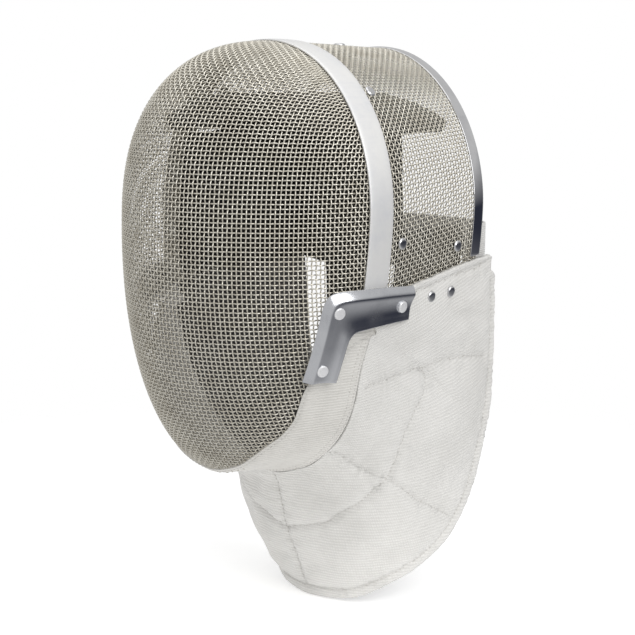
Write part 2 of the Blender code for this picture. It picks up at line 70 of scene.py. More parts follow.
# %% Sizes of the shell, in metres
HALF_WIDTH = 0.107
CROWN_HEIGHT = 0.122
FRONT_DEPTH = 0.112
CHIN_DROP = 0.184
JAW_DROP = 0.058
BAND_LEAN = 0.035
PLAN_ROUNDNESS = 1.9
ARCH_ROUNDNESS = 2.02
BROW_ROUNDNESS = 2.7
CHEEK_ROUNDNESS = 1.86
CHEEK_LENGTH = 0.2275
FACE_ROUNDNESS = 2.43
FACE_LENGTH = 0.1985
REAR_DEPTH = 0.114
REAR_HALF_WIDTH = 0.103
REAR_HEIGHT = 0.119
REAR_ROUNDNESS = 1.95
BIB_DROP = 0.122
HEM_DROP = CHIN_DROP + BIB_DROP
SEAT = Vector((0.0, 0.057, 0.074))
WIDTH_PROFILES = ((CROWN_HEIGHT, ARCH_ROUNDNESS), (CHEEK_LENGTH, CHEEK_ROUNDNESS))
DEPTH_PROFILES = ((CROWN_HEIGHT, BROW_ROUNDNESS), (FACE_LENGTH, FACE_ROUNDNESS))

# %% Curves of the shell


def clip(value):
    """Hold a value between 0 and 1."""
    return min(max(value, 0.0), 1.0)


def arc_share(share, roundness):
    """Height left of a rounded profile at a share of its length."""
    return max(1.0 - clip(share) ** roundness, 0.0) ** (1.0 / roundness)


def level_share(height, profiles):
    """Size left at a height, from the profiles above and below the widest level."""
    length, roundness = profiles[0 if height >= 0.0 else 1]
    return arc_share(abs(height) / length, roundness)


def half_width(height):
    """Half-width of the shell at the centre band, at a height."""
    return HALF_WIDTH * level_share(height, WIDTH_PROFILES)


def face_depth(height):
    """Depth of the face mesh in front of the centre band, at a height."""
    return FRONT_DEPTH * level_share(height, DEPTH_PROFILES)


def face_point(height, turn):
    """Point of the face mesh at a height, turned from the front by an angle."""
    side = math.sin(turn)
    front = math.cos(turn)
    reach = (abs(side) ** PLAN_ROUNDNESS + abs(front) ** PLAN_ROUNDNESS) ** (-1.0 / PLAN_ROUNDNESS)
    back = BAND_LEAN * height - face_depth(height) * front * reach
    return Vector((half_width(height) * side * reach, back, height))


def side_point(back, height):
    """Point of the left side of the shell at a distance back and a height."""
    middle = BAND_LEAN * height
    if back < middle:
        share = min((middle - back) / face_depth(height), 1.0)
        return Vector((half_width(height) * arc_share(share, PLAN_ROUNDNESS), back, height))
    front = half_width(height)
    if height > 0.0:
        rear = REAR_HALF_WIDTH * arc_share(height / REAR_HEIGHT, REAR_ROUNDNESS)
    else:
        rear = REAR_HALF_WIDTH * front / HALF_WIDTH
    return Vector((front + (rear - front) * (back - middle) / REAR_DEPTH, back, height))


def arch_point(place, width, height, roundness, end, back):
    """Point of an arch over the head, from its crown at 0 to its ends at +1 and -1."""
    run = abs(place) * (math.pi / 2.0 * height + end)
    turn = run / height
    if turn < math.pi / 2.0:
        side = math.sin(turn)
        up = math.cos(turn)
        reach = (side**roundness + up**roundness) ** (-1.0 / roundness)
        x = width * side * reach
        z = height * up * reach
    else:
        z = math.pi / 2.0 * height - run
        x = width * half_width(z) / HALF_WIDTH
    return Vector((math.copysign(x, place), back + BAND_LEAN * z, z))


def crown_point(place, back_share, end):
    """Point of the back mesh between the centre band and the rear band."""
    front = arch_point(place, HALF_WIDTH, CROWN_HEIGHT, ARCH_ROUNDNESS, end[0], 0.0)
    rear = arch_point(place, REAR_HALF_WIDTH, REAR_HEIGHT, REAR_ROUNDNESS, end[1], REAR_DEPTH)
    return front.lerp(rear, back_share)


def outward(surface, first, second, step1, step2):
    """Direction square to a surface at a place, on the side away from the head."""
    along = surface(first + step1, second) - surface(first - step1, second)
    upward = surface(first, second + step2) - surface(first, second - step2)
    normal = along.cross(upward).normalized()
    return normal if normal.dot(surface(first, second)) > 0.0 else -normal


def face_normal(height, turn):
    """Outward direction of the face mesh."""
    return outward(face_point, height, turn, 0.001, 0.01)


def side_normal(back, height):
    """Outward direction of the left side of the shell."""
    return outward(side_point, back, height, 0.002, 0.002)


def shared_slope(first, second):
    """Slope between two steps that lets a curve through them without overshoot."""
    return 0.0 if first * second <= 0.0 else 2.0 * first * second / (first + second)


def smooth(rows, place):
    """Read a smooth curve through evenly numbered rows at a fractional place."""
    last = len(rows) - 1
    low = min(int(max(place, 0.0)), last - 1)
    t = place - low
    before, after = rows[max(low - 1, 0)], rows[min(low + 2, last)]
    point = []
    for p0, p1, p2, p3 in zip(before, rows[low], rows[low + 1], after):
        rise = p2 - p1
        start = shared_slope(p1 - p0, rise) if low > 0 else rise
        end = shared_slope(rise, p3 - p2) if low + 1 < last else rise
        bend = 3.0 * rise - 2.0 * start - end
        twist = start + end - 2.0 * rise
        point.append(p1 + start * t + bend * t * t + twist * t * t * t)
    return point


print("widest level:", round(2000 * half_width(0.0)), "mm")

# %% [markdown]
# Every new piece goes through the same few steps. A sheet starts as a flat grid
# made by one operator, and each of its points is then moved onto the shell. That
# keeps the faces even and gives a map of the cloth for free.

# %% Helpers that make a piece
COLLECTION = bpy.context.scene.collection


def add_piece(name, mesh, finishes, nodes=()):
    """Place a mesh from the head seat and let it ride with the mask."""
    mesh.transform(Matrix.Translation(-SEAT))
    for finish in finishes:
        mesh.materials.append(finish)
    piece = bpy.data.objects.new(name, mesh)
    COLLECTION.objects.link(piece)
    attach(piece, "root")
    if nodes:
        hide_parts(*nodes)
    return piece


def keep_shape(shape, name):
    """Turn a bmesh into a mesh of its own."""
    mesh = bpy.data.meshes.new(name)
    shape.to_mesh(mesh)
    shape.free()
    return mesh


def sheet_mesh(name, columns, rows, place, size=(1.0, 1.0)):
    """Lay a grid over a surface: place(u, v) gives a point for u and v from 0 to 1."""
    shape = bmesh.new()
    map_layer = shape.loops.layers.uv.new("UVMap")
    bmesh.ops.create_grid(shape, x_segments=columns, y_segments=rows, size=0.5)
    for face in shape.faces:
        face.smooth = True
        for loop in face.loops:
            u, v = loop.vert.co.x + 0.5, loop.vert.co.y + 0.5
            loop[map_layer].uv = (u * size[0], v * size[1])
    for vertex in shape.verts:
        vertex.co = place(vertex.co.x + 0.5, vertex.co.y + 0.5)
    return keep_shape(shape, name)


def set_up(item, **settings):
    """Set several properties of one thing."""
    for key, value in settings.items():
        setattr(item, key, value)
    return item


def thicken(piece, thickness, rounding=0.0, inside=0):
    """Give a sheet its wall, inwards, and round the wall's edges."""
    wall = piece.modifiers.new("Wall", "SOLIDIFY")
    set_up(wall, thickness=thickness, offset=-1.0, use_even_offset=False, material_offset=inside)
    if rounding:
        edge = piece.modifiers.new("Rounded edge", "BEVEL")
        set_up(edge, width=rounding, segments=2, limit_method="ANGLE", harden_normals=False)
        edge.angle_limit = math.radians(50.0)


def mirror_mesh(mesh, name):
    """Copy a left-hand mesh to the wearer's right, faces still outward."""
    shape = bmesh.new()
    shape.from_mesh(mesh)
    bmesh.ops.scale(shape, vec=(-1.0, 1.0, 1.0), verts=shape.verts)
    bmesh.ops.reverse_faces(shape, faces=shape.faces)
    return keep_shape(shape, name)


def tube_mesh(name, runs, radius, sides, caps):
    """Turn lines of points into round wires or threads."""
    curve = bpy.data.curves.new(name, "CURVE")
    set_up(curve, dimensions="3D", bevel_depth=radius, bevel_resolution=sides, use_fill_caps=caps)
    for run in runs:
        spline = curve.splines.new("POLY")
        spline.points.add(len(run) - 1)
        points = np.ones((len(run), 4))
        points[:, :3] = run
        spline.points.foreach_set("co", points.ravel())
    holder = bpy.data.objects.new(name, curve)
    mesh = bpy.data.meshes.new_from_object(holder)
    mesh.name = name
    bpy.data.objects.remove(holder)
    bpy.data.curves.remove(curve)
    return mesh


# %% [markdown]
# Steel, cloth and elastic share a few effects, each kept as one node group. The
# grain group gives metal its streaks, smudges and fine scratches. The weave group
# gives cloth its ribs and loops, and paints shade into the grooves between the
# ribs. A group puts out colours and values that vary over the surface, and each
# material keeps its own shader.

# %% Node groups


def new_group(name, inputs, outputs):
    """Start a shader node group with named sockets."""
    group = bpy.data.node_groups.new(name, "ShaderNodeTree")
    for way, sockets in (("INPUT", inputs), ("OUTPUT", outputs)):
        for label, kind in sockets.items():
            group.interface.new_socket(name=label, in_out=way, socket_type="NodeSocket" + kind)
    return group, group.nodes.new("NodeGroupInput").outputs, group.nodes.new("NodeGroupOutput")


def feed(tree, node, values):
    """Give each named socket of a node its fixed value or its link."""
    for label, value in values.items():
        if isinstance(value, bpy.types.NodeSocket):
            tree.links.new(value, node.inputs[label])
        else:
            node.inputs[label].default_value = value


def add_node(tree, kind, values=None, **settings):
    """Add a shader node, set it up and feed its sockets."""
    node = set_up(tree.nodes.new("ShaderNode" + kind), **settings)
    feed(tree, node, values or {})
    return node


def math_node(tree, operation, *values, clamp=False):
    """Add a Math node and return its value."""
    settings = {"operation": operation, "use_clamp": clamp}
    return add_node(tree, "Math", dict(enumerate(values)), **settings).outputs[0]


def sum_node(tree, pairs, clamp=False):
    """Add up values, each multiplied by its share."""
    parts = [math_node(tree, "MULTIPLY", *pair) for pair in pairs]
    return math_node(tree, "ADD", *parts, clamp=clamp)


def mix_node(tree, factor, first, second):
    """Blend two colours by a factor."""
    return add_node(tree, "Mix", {0: factor, 6: first, 7: second}, data_type="RGBA").outputs[2]


def noise_node(tree, vector, scale, detail=3.0, roughness=0.5):
    """Add a Noise texture and return its value."""
    values = {"Vector": vector, "Scale": scale, "Detail": detail, "Roughness": roughness}
    return add_node(tree, "TexNoise", values).outputs["Fac"]


def ramp_node(tree, value, low, high, first=0.0, second=1.0):
    """Stretch a value from low..high to first..second."""
    values = {"Value": value, "From Min": low, "From Max": high, "To Min": first, "To Max": second}
    return add_node(tree, "MapRange", values, clamp=True).outputs[0]


def build_grain():
    """Metal: long streaks, soft smudges and fine scratches."""
    inputs = {
        "Vector": "Vector", "Clean": "Color", "Worn": "Color",
        "Smooth": "Float", "Rough": "Float", "Smudge Scale": "Float",
    }
    outputs = {"Color": "Color", "Roughness": "Float", "Height": "Float"}
    group, start, end = new_group("steel_grain", inputs, outputs)
    place = start["Vector"]
    smudge = noise_node(group, place, start["Smudge Scale"], 4.0, 0.6)
    stretch = add_node(group, "VectorMath", {0: place, 1: (900.0, 60.0, 60.0)}, operation="MULTIPLY")
    streak = noise_node(group, stretch.outputs[0], 1.0, 3.0, 0.6)
    fine = noise_node(group, place, 1800.0, 2.0, 0.7)
    mask = ramp_node(group, smudge, 0.42, 0.68)
    both = math_node(group, "MULTIPLY", mask, streak)
    total = sum_node(group, ((mask, 0.65), (streak, 0.35)), clamp=True)
    feed(group, end, {
        "Color": mix_node(group, both, start["Clean"], start["Worn"]),
        "Roughness": ramp_node(group, total, 0.0, 1.0, start["Smooth"], start["Rough"]),
        "Height": sum_node(group, ((streak, 0.6), (fine, 0.4))),
    })
    return group


def band_wave(tree, coordinate, pitch):
    """Even ridges along a coordinate: 0 in the grooves and 1 on the ridges."""
    turns = math_node(tree, "DIVIDE", coordinate, pitch)
    angle = math_node(tree, "MULTIPLY", turns, 2.0 * math.pi)
    return math_node(tree, "MULTIPLY_ADD", math_node(tree, "SINE", angle), 0.5, 0.5)


def build_weave():
    """Cloth: ribs across, loops along them, shade painted into the grooves between the ribs, and slow
    random changes of tone.
    """
    inputs = {
        "Rib": "Float", "Loop": "Float", "Vector": "Vector", "Rib Pitch": "Float",
        "Loop Pitch": "Float", "Light": "Color", "Dark": "Color", "Painted Groove Shade": "Float",
    }
    group, start, end = new_group("cloth_weave", inputs, {"Color": "Color", "Height": "Float"})
    wobble = noise_node(group, start["Vector"], 260.0, 2.0)
    shift = math_node(group, "MULTIPLY", math_node(group, "SUBTRACT", wobble, 0.5), 0.0009)
    ribs, loops = (
        band_wave(group, math_node(group, "ADD", start[label], shift), start[label + " Pitch"])
        for label in ("Rib", "Loop")
    )
    height = sum_node(group, ((ribs, 0.55), (math_node(group, "MULTIPLY", ribs, loops), 0.45)))
    slow = ramp_node(group, noise_node(group, start["Vector"], 22.0, 4.0, 0.6), 0.4, 0.7)
    # Painted shade: the grooves between the ribs take the darker colour, as if in shade. The slow noise
    # adds random tone.
    groove = math_node(group, "SUBTRACT", 1.0, height)
    factor = sum_node(group, ((groove, start["Painted Groove Shade"]), (slow, 0.35)), clamp=True)
    feed(group, end, {
        "Color": mix_node(group, factor, start["Light"], start["Dark"]), "Height": height,
    })
    return group


GRAIN = build_grain()
WEAVE = build_weave()
print("node groups:", GRAIN.name, WEAVE.name)

# %% [markdown]
# Two makers turn the groups into materials. The steel maker takes the tint and
# the range of roughness. The cloth maker takes two shades, the rib pitch, the
# depth of the bump and how much shade is painted into the grooves.

# %% Material makers


def new_material(name):
    """Start a node material and return it with its tree and shader."""
    made = bpy.data.materials.new(name)
    made.use_nodes = True
    tree = made.node_tree
    return made, tree, tree.nodes["Principled BSDF"]


def add_bump(tree, shader, height, depth):
    """Turn a height into a bump on the shader."""
    bump = add_node(tree, "Bump", {"Strength": 1.0, "Distance": depth, "Height": height})
    feed(tree, shader, {"Normal": bump.outputs["Normal"]})


def steel(name, clean, worn, smooth_to, rough_to, depth, smudge=40.0, metallic=1.0):
    """Steel with its grain laid across the object's width."""
    made, tree, shader = new_material(name)
    values = {
        "Vector": add_node(tree, "TexCoord").outputs["Object"],
        "Clean": (*clean, 1.0), "Worn": (*worn, 1.0),
        "Smooth": smooth_to, "Rough": rough_to, "Smudge Scale": smudge,
    }
    grain = add_node(tree, "Group", values, node_tree=GRAIN).outputs
    feed(tree, shader, {
        "Base Color": grain["Color"], "Roughness": grain["Roughness"], "Metallic": metallic,
    })
    add_bump(tree, shader, grain["Height"], depth)
    return made


def cloth(name, light, dark, rib, loop, depth, shade=0.6, sheen=0.2, by_map=False):
    """Cloth whose ribs run level, or along its own map."""
    made, tree, shader = new_material(name)
    coordinates = add_node(tree, "TexCoord").outputs
    level = add_node(tree, "SeparateXYZ", {0: coordinates["Object"]})
    flat = add_node(tree, "SeparateXYZ", {0: coordinates["UV"]})
    # shade sets how much shade is painted into the grooves between the ribs.
    values = {
        "Rib": flat.outputs[1] if by_map else level.outputs[2], "Loop": flat.outputs[0],
        "Vector": coordinates["Object"], "Rib Pitch": rib, "Loop Pitch": loop,
        "Light": (*light, 1.0), "Dark": (*dark, 1.0), "Painted Groove Shade": shade,
    }
    weave = add_node(tree, "Group", values, node_tree=WEAVE).outputs
    feed(tree, shader, {
        "Base Color": weave["Color"], "Roughness": 0.9, "Sheen Weight": sheen, "Sheen Roughness": 0.6,
    })
    add_bump(tree, shader, weave["Height"], depth)
    return made


# %% The finishes
wire_steel = steel(
    "wire_steel", (0.74, 0.71, 0.63), (0.52, 0.48, 0.40), 0.24, 0.42, 0.00003, 60.0, metallic=0.7
)
satin_steel = steel(
    "satin_steel", (0.86, 0.855, 0.84), (0.68, 0.69, 0.72), 0.32, 0.48, 0.00002, 30.0, metallic=0.35
)
mirror_steel = steel("mirror_steel", (0.78, 0.78, 0.79), (0.62, 0.62, 0.64), 0.04, 0.14, 0.000005, 50.0)
bracket_steel = steel("bracket_steel", (0.70, 0.71, 0.74), (0.52, 0.53, 0.56), 0.15, 0.30, 0.00001, 45.0)
flat_rivet_steel = steel(
    "flat_rivet_steel", (0.84, 0.84, 0.85), (0.66, 0.66, 0.68), 0.28, 0.45, 0.00001, 200.0, metallic=0.4
)
rivet_steel = steel("rivet_steel", (0.74, 0.74, 0.75), (0.52, 0.52, 0.54), 0.12, 0.30, 0.00001, 200.0)
bib_cloth = cloth(
    "bib_cloth", (0.76, 0.75, 0.725), (0.58, 0.57, 0.545), 0.0024, 0.0016, 0.0003, by_map=True
)
# Painted shade: the bib's inner face is coloured near black to stand for the deep shade inside the mask,
# not for a dark cloth.
bib_inside_painted_shade = cloth("bib_inside_painted_shade", (0.060, 0.055, 0.050), (0.030, 0.027, 0.025), 0.0014, 0.0014, 0.0002)
border_cloth = cloth("border_cloth", (0.74, 0.725, 0.69), (0.52, 0.505, 0.47), 0.0021, 0.0015, 0.0003)
elastic_cloth = cloth(
    "elastic_cloth", (0.78, 0.77, 0.75), (0.56, 0.55, 0.53), 0.0016, 0.0011, 0.00025, by_map=True
)
liner_cloth = cloth(
    "liner_cloth", (0.020, 0.019, 0.017), (0.010, 0.009, 0.008), 0.0011, 0.0011, 0.0002, sheen=0.0
)
thread = cloth("thread", (0.68, 0.66, 0.62), (0.50, 0.48, 0.45), 0.0005, 0.0005, 0.00005)
print("materials:", len(bpy.data.materials))

# %% [markdown]
# The mesh of a mask is one flat woven sheet, pressed into a dome. Its wires don't
# stretch. They keep their spacing and turn against each other where the dome
# curves two ways, so the square holes become slanted near the upper and lower
# corners. A net grown step by step, with every new crossing one pitch from its
# two neighbours, behaves in the same way.

# %% Grow the woven net over the dome
WIRE_PITCH = 0.0032
WIRE_RADIUS = 0.0005
NET_ACROSS = 62
NET_UP = 64
NET_DOWN = 84
WALK_ROUNDS = 4
GROW_ROUNDS = 7
HALVINGS = 26
FAR_OUT = 0.4
MOST_LEAN = 0.97


def level_shares(heights, profiles):
    """Size left at many heights at once, from the profiles above and below."""
    both = np.where(heights[..., None] >= 0.0, *profiles)
    share = np.clip(np.abs(heights) / both[..., 0], 0.0, 1.0)
    return np.maximum(1.0 - share ** both[..., 1], 1e-9) ** (1.0 / both[..., 1])


def plan_shares(points):
    """How far points lie to the side and to the front, as shares of the plan curve."""
    z = points[..., 2]
    front = np.maximum(BAND_LEAN * z - points[..., 1], 0.0)
    side = np.abs(points[..., 0]) / (HALF_WIDTH * level_shares(z, WIDTH_PROFILES))
    return side, front / (FRONT_DEPTH * level_shares(z, DEPTH_PROFILES))


def dome_inside(points):
    """Tell which points lie within the dome, open to the rear."""
    z = points[:, 2]
    side, front = plan_shares(points)
    full = side**PLAN_ROUNDNESS + front**PLAN_ROUNDNESS
    return (full < 1.0) & (z < CROWN_HEIGHT) & (z > -FACE_LENGTH)


def onto_dome(points):
    """Slide points along their own direction from the middle until they lie on the dome."""
    ways = points / np.linalg.norm(points, axis=1)[:, None]
    near = np.zeros(len(points))
    far = np.full(len(points), FAR_OUT)
    for _ in range(HALVINGS):
        middle = 0.5 * (near + far)
        inside = dome_inside(ways * middle[:, None])
        near = np.where(inside, middle, near)
        far = np.where(inside, far, middle)
    return ways * near[:, None]


def walk(start, way, count):
    """Points one pitch apart along the dome, from a start in a plane through it."""
    line = [start]
    step = np.array(way)
    for _ in range(count):
        point = line[-1] + step * WIRE_PITCH
        for _ in range(WALK_ROUNDS):
            run = onto_dome(point[None])[0] - line[-1]
            step = run / np.linalg.norm(run)
            point = line[-1] + step * WIRE_PITCH
        line.append(point)
    return np.array(line)


def grow(row, column):
    """Fill the quarter between a level row and an upright column."""
    across, up = len(row), len(column)
    net = np.full((across, up, 3), np.nan)
    net[:, 0] = row
    net[0, :] = column
    for diagonal in range(2, across + up - 1):
        i = np.arange(max(1, diagonal - up + 1), min(across - 1, diagonal - 1) + 1)
        j = diagonal - i
        beside = np.array((net[i - 1, j], net[i, j - 1]))
        point = beside[0] + beside[1] - net[i - 1, j - 1]
        for _ in range(GROW_ROUNDS):
            point = onto_dome(point)
            arms = point - beside
            reach = np.linalg.norm(arms, axis=2)
            arms /= reach[..., None]
            miss = reach - WIRE_PITCH
            lean = np.clip(np.sum(arms[0] * arms[1], axis=1), -MOST_LEAN, MOST_LEAN)
            moves = (lean * miss[::-1] - miss) / (1.0 - lean * lean)
            point = point + np.sum(arms * moves[..., None], axis=0)
        net[i, j] = point
    return net


def dome_net():
    """The whole net: columns from the wearer's right to left, rows from chin to crown."""
    front = onto_dome(np.array([[0.0, -1.0, 0.0]]))[0]
    row = walk(front, (1.0, 0.0, 0.0), NET_ACROSS)
    over = walk(front, (0.0, 0.0, 1.0), NET_UP)
    under = walk(front, (0.0, 0.0, -1.0), NET_DOWN)
    upper = grow(row, over)
    lower = grow(row, under)
    half = np.concatenate((lower[:, :0:-1], upper), axis=1)
    other = half[:0:-1] * np.array((-1.0, 1.0, 1.0))
    return np.concatenate((other, half), axis=0)


NET = dome_net()
print("net:", NET.shape[0], "by", NET.shape[1], "wires")

# %% [markdown]
# Each wire passes over one neighbour and under the next. Two points at every
# crossing, both lifted or sunk by the wire's own radius, give that crimp with few
# faces. A curve with a round bevel turns each line of points into a wire, and is
# then kept as a mesh. Upright and level wires are pieces of their own.

# %% Weave the wires
RIM = (
    (0.000, 1.000), (0.175, 0.884), (0.373, 0.758), (0.476, 0.713), (0.635, 0.684),
    (0.730, 0.626), (0.794, 0.548), (0.873, 0.438), (0.937, 0.324), (1.000, 0.000),
)
RIM_TUCK = 0.004
BAND_TUCK = 0.004
CRIMP_SHARE = 0.24


def rim_place(row):
    """Height and turn of the jaw rim at a row of its table, whole or between two."""
    rows = list(RIM) + [(down, -turn) for down, turn in reversed(RIM[:-1])]
    down, turn = smooth(rows, row)
    return -(JAW_DROP + (CHIN_DROP - JAW_DROP) * down), turn * math.pi / 2.0


def rim_curve(count=160):
    """Turn and height of the rim from the front to the side, for quick reading."""
    last = len(RIM) - 1
    places = np.array([rim_place(last * (1.0 - k / count)) for k in range(count + 1)])
    heights, turns = places[np.argsort(places[:, 1])].T
    return turns, heights


RIM_TURNS, RIM_HEIGHTS = rim_curve()


def turn_of(points):
    """Turn of points of the dome from the front, as in the plan curve."""
    return np.arctan2(*plan_shares(points))


def kept_crossings(net):
    """Mark the crossings that lie on the face mesh, with a tuck under its edges."""
    ahead = net[..., 1] < BAND_LEAN * net[..., 2] + BAND_TUCK
    rim = np.interp(turn_of(net), RIM_TURNS, RIM_HEIGHTS)
    return ahead & (net[..., 2] > rim - RIM_TUCK)


def net_normals(net):
    """Outward direction at every crossing."""
    along = np.gradient(net, axis=0)
    upward = np.gradient(net, axis=1)
    normal = np.cross(along, upward)
    normal /= np.maximum(np.linalg.norm(normal, axis=2), 1e-9)[..., None]
    flip = np.sum(normal * net, axis=2) < 0.0
    normal[flip] *= -1.0
    return normal


def wire_runs(net, normals, keep, lift):
    """Lines of points for the wires that run along the net's first axis."""
    runs = []
    last = net.shape[0] - 1
    for j in range(net.shape[1]):
        run = []
        for i in range(last + 2):
            if i <= last and keep[i, j]:
                side = lift * (1.0 if (i + j) % 2 else -1.0) * WIRE_RADIUS
                raised = net[i, j] + normals[i, j] * side
                for beside in (max(i - 1, 0), min(i + 1, last)):
                    run.append(raised + (net[beside, j] - net[i, j]) * CRIMP_SHARE)
                continue
            if len(run) > 2:
                runs.append(run)
            run = []
    return runs


def weave(prefix, net, keep, nodes):
    """Make the level and upright wires of one mesh, each in two halves."""
    normals = net_normals(net)
    upright = wire_runs(net.transpose(1, 0, 2), normals.transpose(1, 0, 2), keep.T, -1.0)
    level = wire_runs(net, normals, keep, 1.0)
    made = []
    for label, runs in (("upright", upright), ("level", level)):
        half = len(runs) // 2
        for part, some in (("a", runs[:half]), ("b", runs[half:])):
            name = f"{prefix}_{label}_{part}"
            wires = tube_mesh(name, some, WIRE_RADIUS, 1, False)
            made.append(add_piece(name, wires, [wire_steel]))
            print(name, len(made[-1].data.polygons), "faces")
    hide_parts(*nodes)
    return made


weave("front_wires", NET, kept_crossings(NET), ["front_mesh"])

# %% [markdown]
# The back mesh is bent over the crown in one direction only, so its wires stay
# square. They run over the head beside the bands, and from band to band.

# %% Back mesh
BACK_TUCK = 0.006
REAR_END = HEM_DROP * 0.122
BAND_END = (JAW_DROP + 0.005, REAR_END + 0.005)


def back_net():
    """Crossings of the back mesh, laid evenly over the crown."""
    over = 2.0 * (math.pi / 2.0 * 0.5 * (HALF_WIDTH + CROWN_HEIGHT) + JAW_DROP)
    rows = int(round(over / WIRE_PITCH))
    columns = int(round((REAR_DEPTH + BACK_TUCK) / WIRE_PITCH))
    net = np.zeros((columns + 1, rows + 1, 3))
    for i in range(columns + 1):
        share = (i / columns * (REAR_DEPTH + BACK_TUCK) - 0.5 * BACK_TUCK) / REAR_DEPTH
        for j in range(rows + 1):
            net[i, j] = crown_point(2.0 * j / rows - 1.0, share, BAND_END)
    return net


BACK_NET = back_net()
weave("back_wires", BACK_NET, np.ones(BACK_NET.shape[:2], bool), ["back_mesh"])

# %% [markdown]
# Two steel strips bind the meshes. The wide satin strip covers the joint of the
# two meshes, and the narrow polished strip is the rim of the back opening. Each
# is a grid bent over its arch, with a wall and rounded edges from modifiers.

# %% Bands
CENTRE_BAND_WIDTH = 0.0238
REAR_BAND_WIDTH = 0.0108
BAND_THICKNESS = 0.0012
BAND_CLEARANCE = 0.0006
BAND_END_GAP = 0.003
CENTRE_END_GAP = 0.007
BAND_CROWN = 0.0004


def band(name, arch, width, end, finish):
    """Steel strip over an arch, slightly crowned across."""
    wide, high, roundness, back = arch

    def place(u, v):
        crown = BAND_CROWN * (1.0 - (2.0 * v - 1.0) ** 2)
        lift = BAND_CLEARANCE + BAND_THICKNESS + crown
        middle = arch_point(2.0 * u - 1.0, wide + lift, high + lift, roundness, end, back)
        return middle + Vector((0.0, (v - 0.5) * width, 0.0))

    mesh = sheet_mesh(name, 200, 6, place, (0.55, width))
    piece = add_piece(name, mesh, [finish], [name.replace("_strip", "_band")])
    thicken(piece, BAND_THICKNESS, 0.0003)


band(
    "centre_strip", (HALF_WIDTH, CROWN_HEIGHT, ARCH_ROUNDNESS, 0.0), CENTRE_BAND_WIDTH,
    JAW_DROP - CENTRE_END_GAP, satin_steel,
)
band(
    "rear_strip", (REAR_HALF_WIDTH, REAR_HEIGHT, REAR_ROUNDNESS, REAR_DEPTH), REAR_BAND_WIDTH,
    REAR_END - BAND_END_GAP, mirror_steel,
)

# %% [markdown]
# An L-shaped plate holds the lower corner of each side. It is pressed from sheet:
# its outer edge is folded over towards the wire, and its inner edge has a low lip.

# %% Brackets
BRACKET_THICKNESS = 0.0016
GAP = 0.0003
BIB_THICKNESS = 0.0045
CLOTH_CLEARANCE = 0.0008
CLOTH_LIFT = GAP + BIB_THICKNESS + CLOTH_CLEARANCE
BRACKET_LIFT = GAP + CLOTH_LIFT + BRACKET_THICKNESS
BRACKET_EDGES = (
    ((0.330, 0.267), (0.275, 0.389)),
    ((0.180, 0.262), (0.150, 0.391)),
    ((0.000, 0.257), (0.020, 0.394)),
    ((-0.180, 0.255), (-0.062, 0.397)),
    ((-0.310, 0.258), (-0.125, 0.401)),
    ((-0.372, 0.274), (-0.185, 0.407)),
    ((-0.394, 0.310), (-0.222, 0.432)),
    ((-0.411, 0.403), (-0.240, 0.500)),
    ((-0.444, 0.592), (-0.256, 0.595)),
)
PLATE_THICKNESS = 0.0012
FOLD_SHARE = 0.24
FOLD_DEPTH = 0.0038
LIP_HEIGHT = 0.0006
LIP_FROM = 0.88
DISH_TO = 0.9
PRESS_DEPTH = 0.0014


def bracket_point(station, share, lift):
    """Point of the left bracket, lifted from the shell, and its outward direction."""
    edges = [(*outer, *inner) for outer, inner in BRACKET_EDGES]
    back_out, down_out, back_in, down_in = smooth(edges, station)
    back = (back_out + (back_in - back_out) * share) * FRONT_DEPTH
    height = -(down_out + (down_in - down_out) * share) * CHIN_DROP
    normal = side_normal(back, height)
    return side_point(back, height) + normal * lift, normal


def bracket_place(u, v):
    """Pressed form of the plate: folded outer edge, dished face and low inner lip."""
    fold = max(0.0, 1.0 - v / FOLD_SHARE)
    round_fold = fold**1.5
    lip = max(0.0, (v - LIP_FROM) / (1.0 - LIP_FROM))
    dish = math.sin(math.pi * clip((v - FOLD_SHARE) / (DISH_TO - FOLD_SHARE)))
    lift = BRACKET_LIFT - FOLD_DEPTH * round_fold + LIP_HEIGHT * lip * lip - PRESS_DEPTH * dish
    return bracket_point((1.0 - u) * (len(BRACKET_EDGES) - 1), v, lift)[0]


bracket_left = sheet_mesh("bracket_plate_left", 96, 26, bracket_place, (0.12, 0.022))
bracket_right = mirror_mesh(bracket_left, "bracket_plate_right")
for mesh, node in ((bracket_left, "bracket_left"), (bracket_right, "bracket_right")):
    plate = add_piece(mesh.name, mesh, [bracket_steel], [node])
    thicken(plate, PLATE_THICKNESS, 0.0003)
print("brackets: 2")

# %% [markdown]
# A rivet head is a turned shape: a short profile, spun once round its axis. The
# heads on the brackets are flat with a rounded shoulder. The others are domed.

# %% Rivets
BRACKET_RIVET = (0.0042, 0.0016)
MESH_RIVET = (0.0045, 0.0022)
FLAT_HEAD = ((0.0, 1.0), (0.70, 1.0), (0.90, 0.92), (0.99, 0.72), (1.0, 0.4), (1.0, -0.3))
DOMED_HEAD = ((0.0, 0.80), (0.35, 0.79), (0.65, 0.73), (0.86, 0.58), (0.97, 0.32), (1.0, -0.3))
MESH_RIVETS = ((0.205, 0.710), (0.215, -0.150), (0.795, -0.205))
MESH_RIVET_TOP_BACK = 0.600
WIRE_LIFT = 0.0006
BIB_RIVETS = ((0.510, -0.480), (0.715, -0.468))
BRACKET_RIVETS = ((0.7, 0.56), (5.25, 0.38), (7.7, 0.42))
DOMED_RIVETS = (("mesh_head", MESH_RIVETS, WIRE_LIFT), ("bib_head", BIB_RIVETS, CLOTH_LIFT))


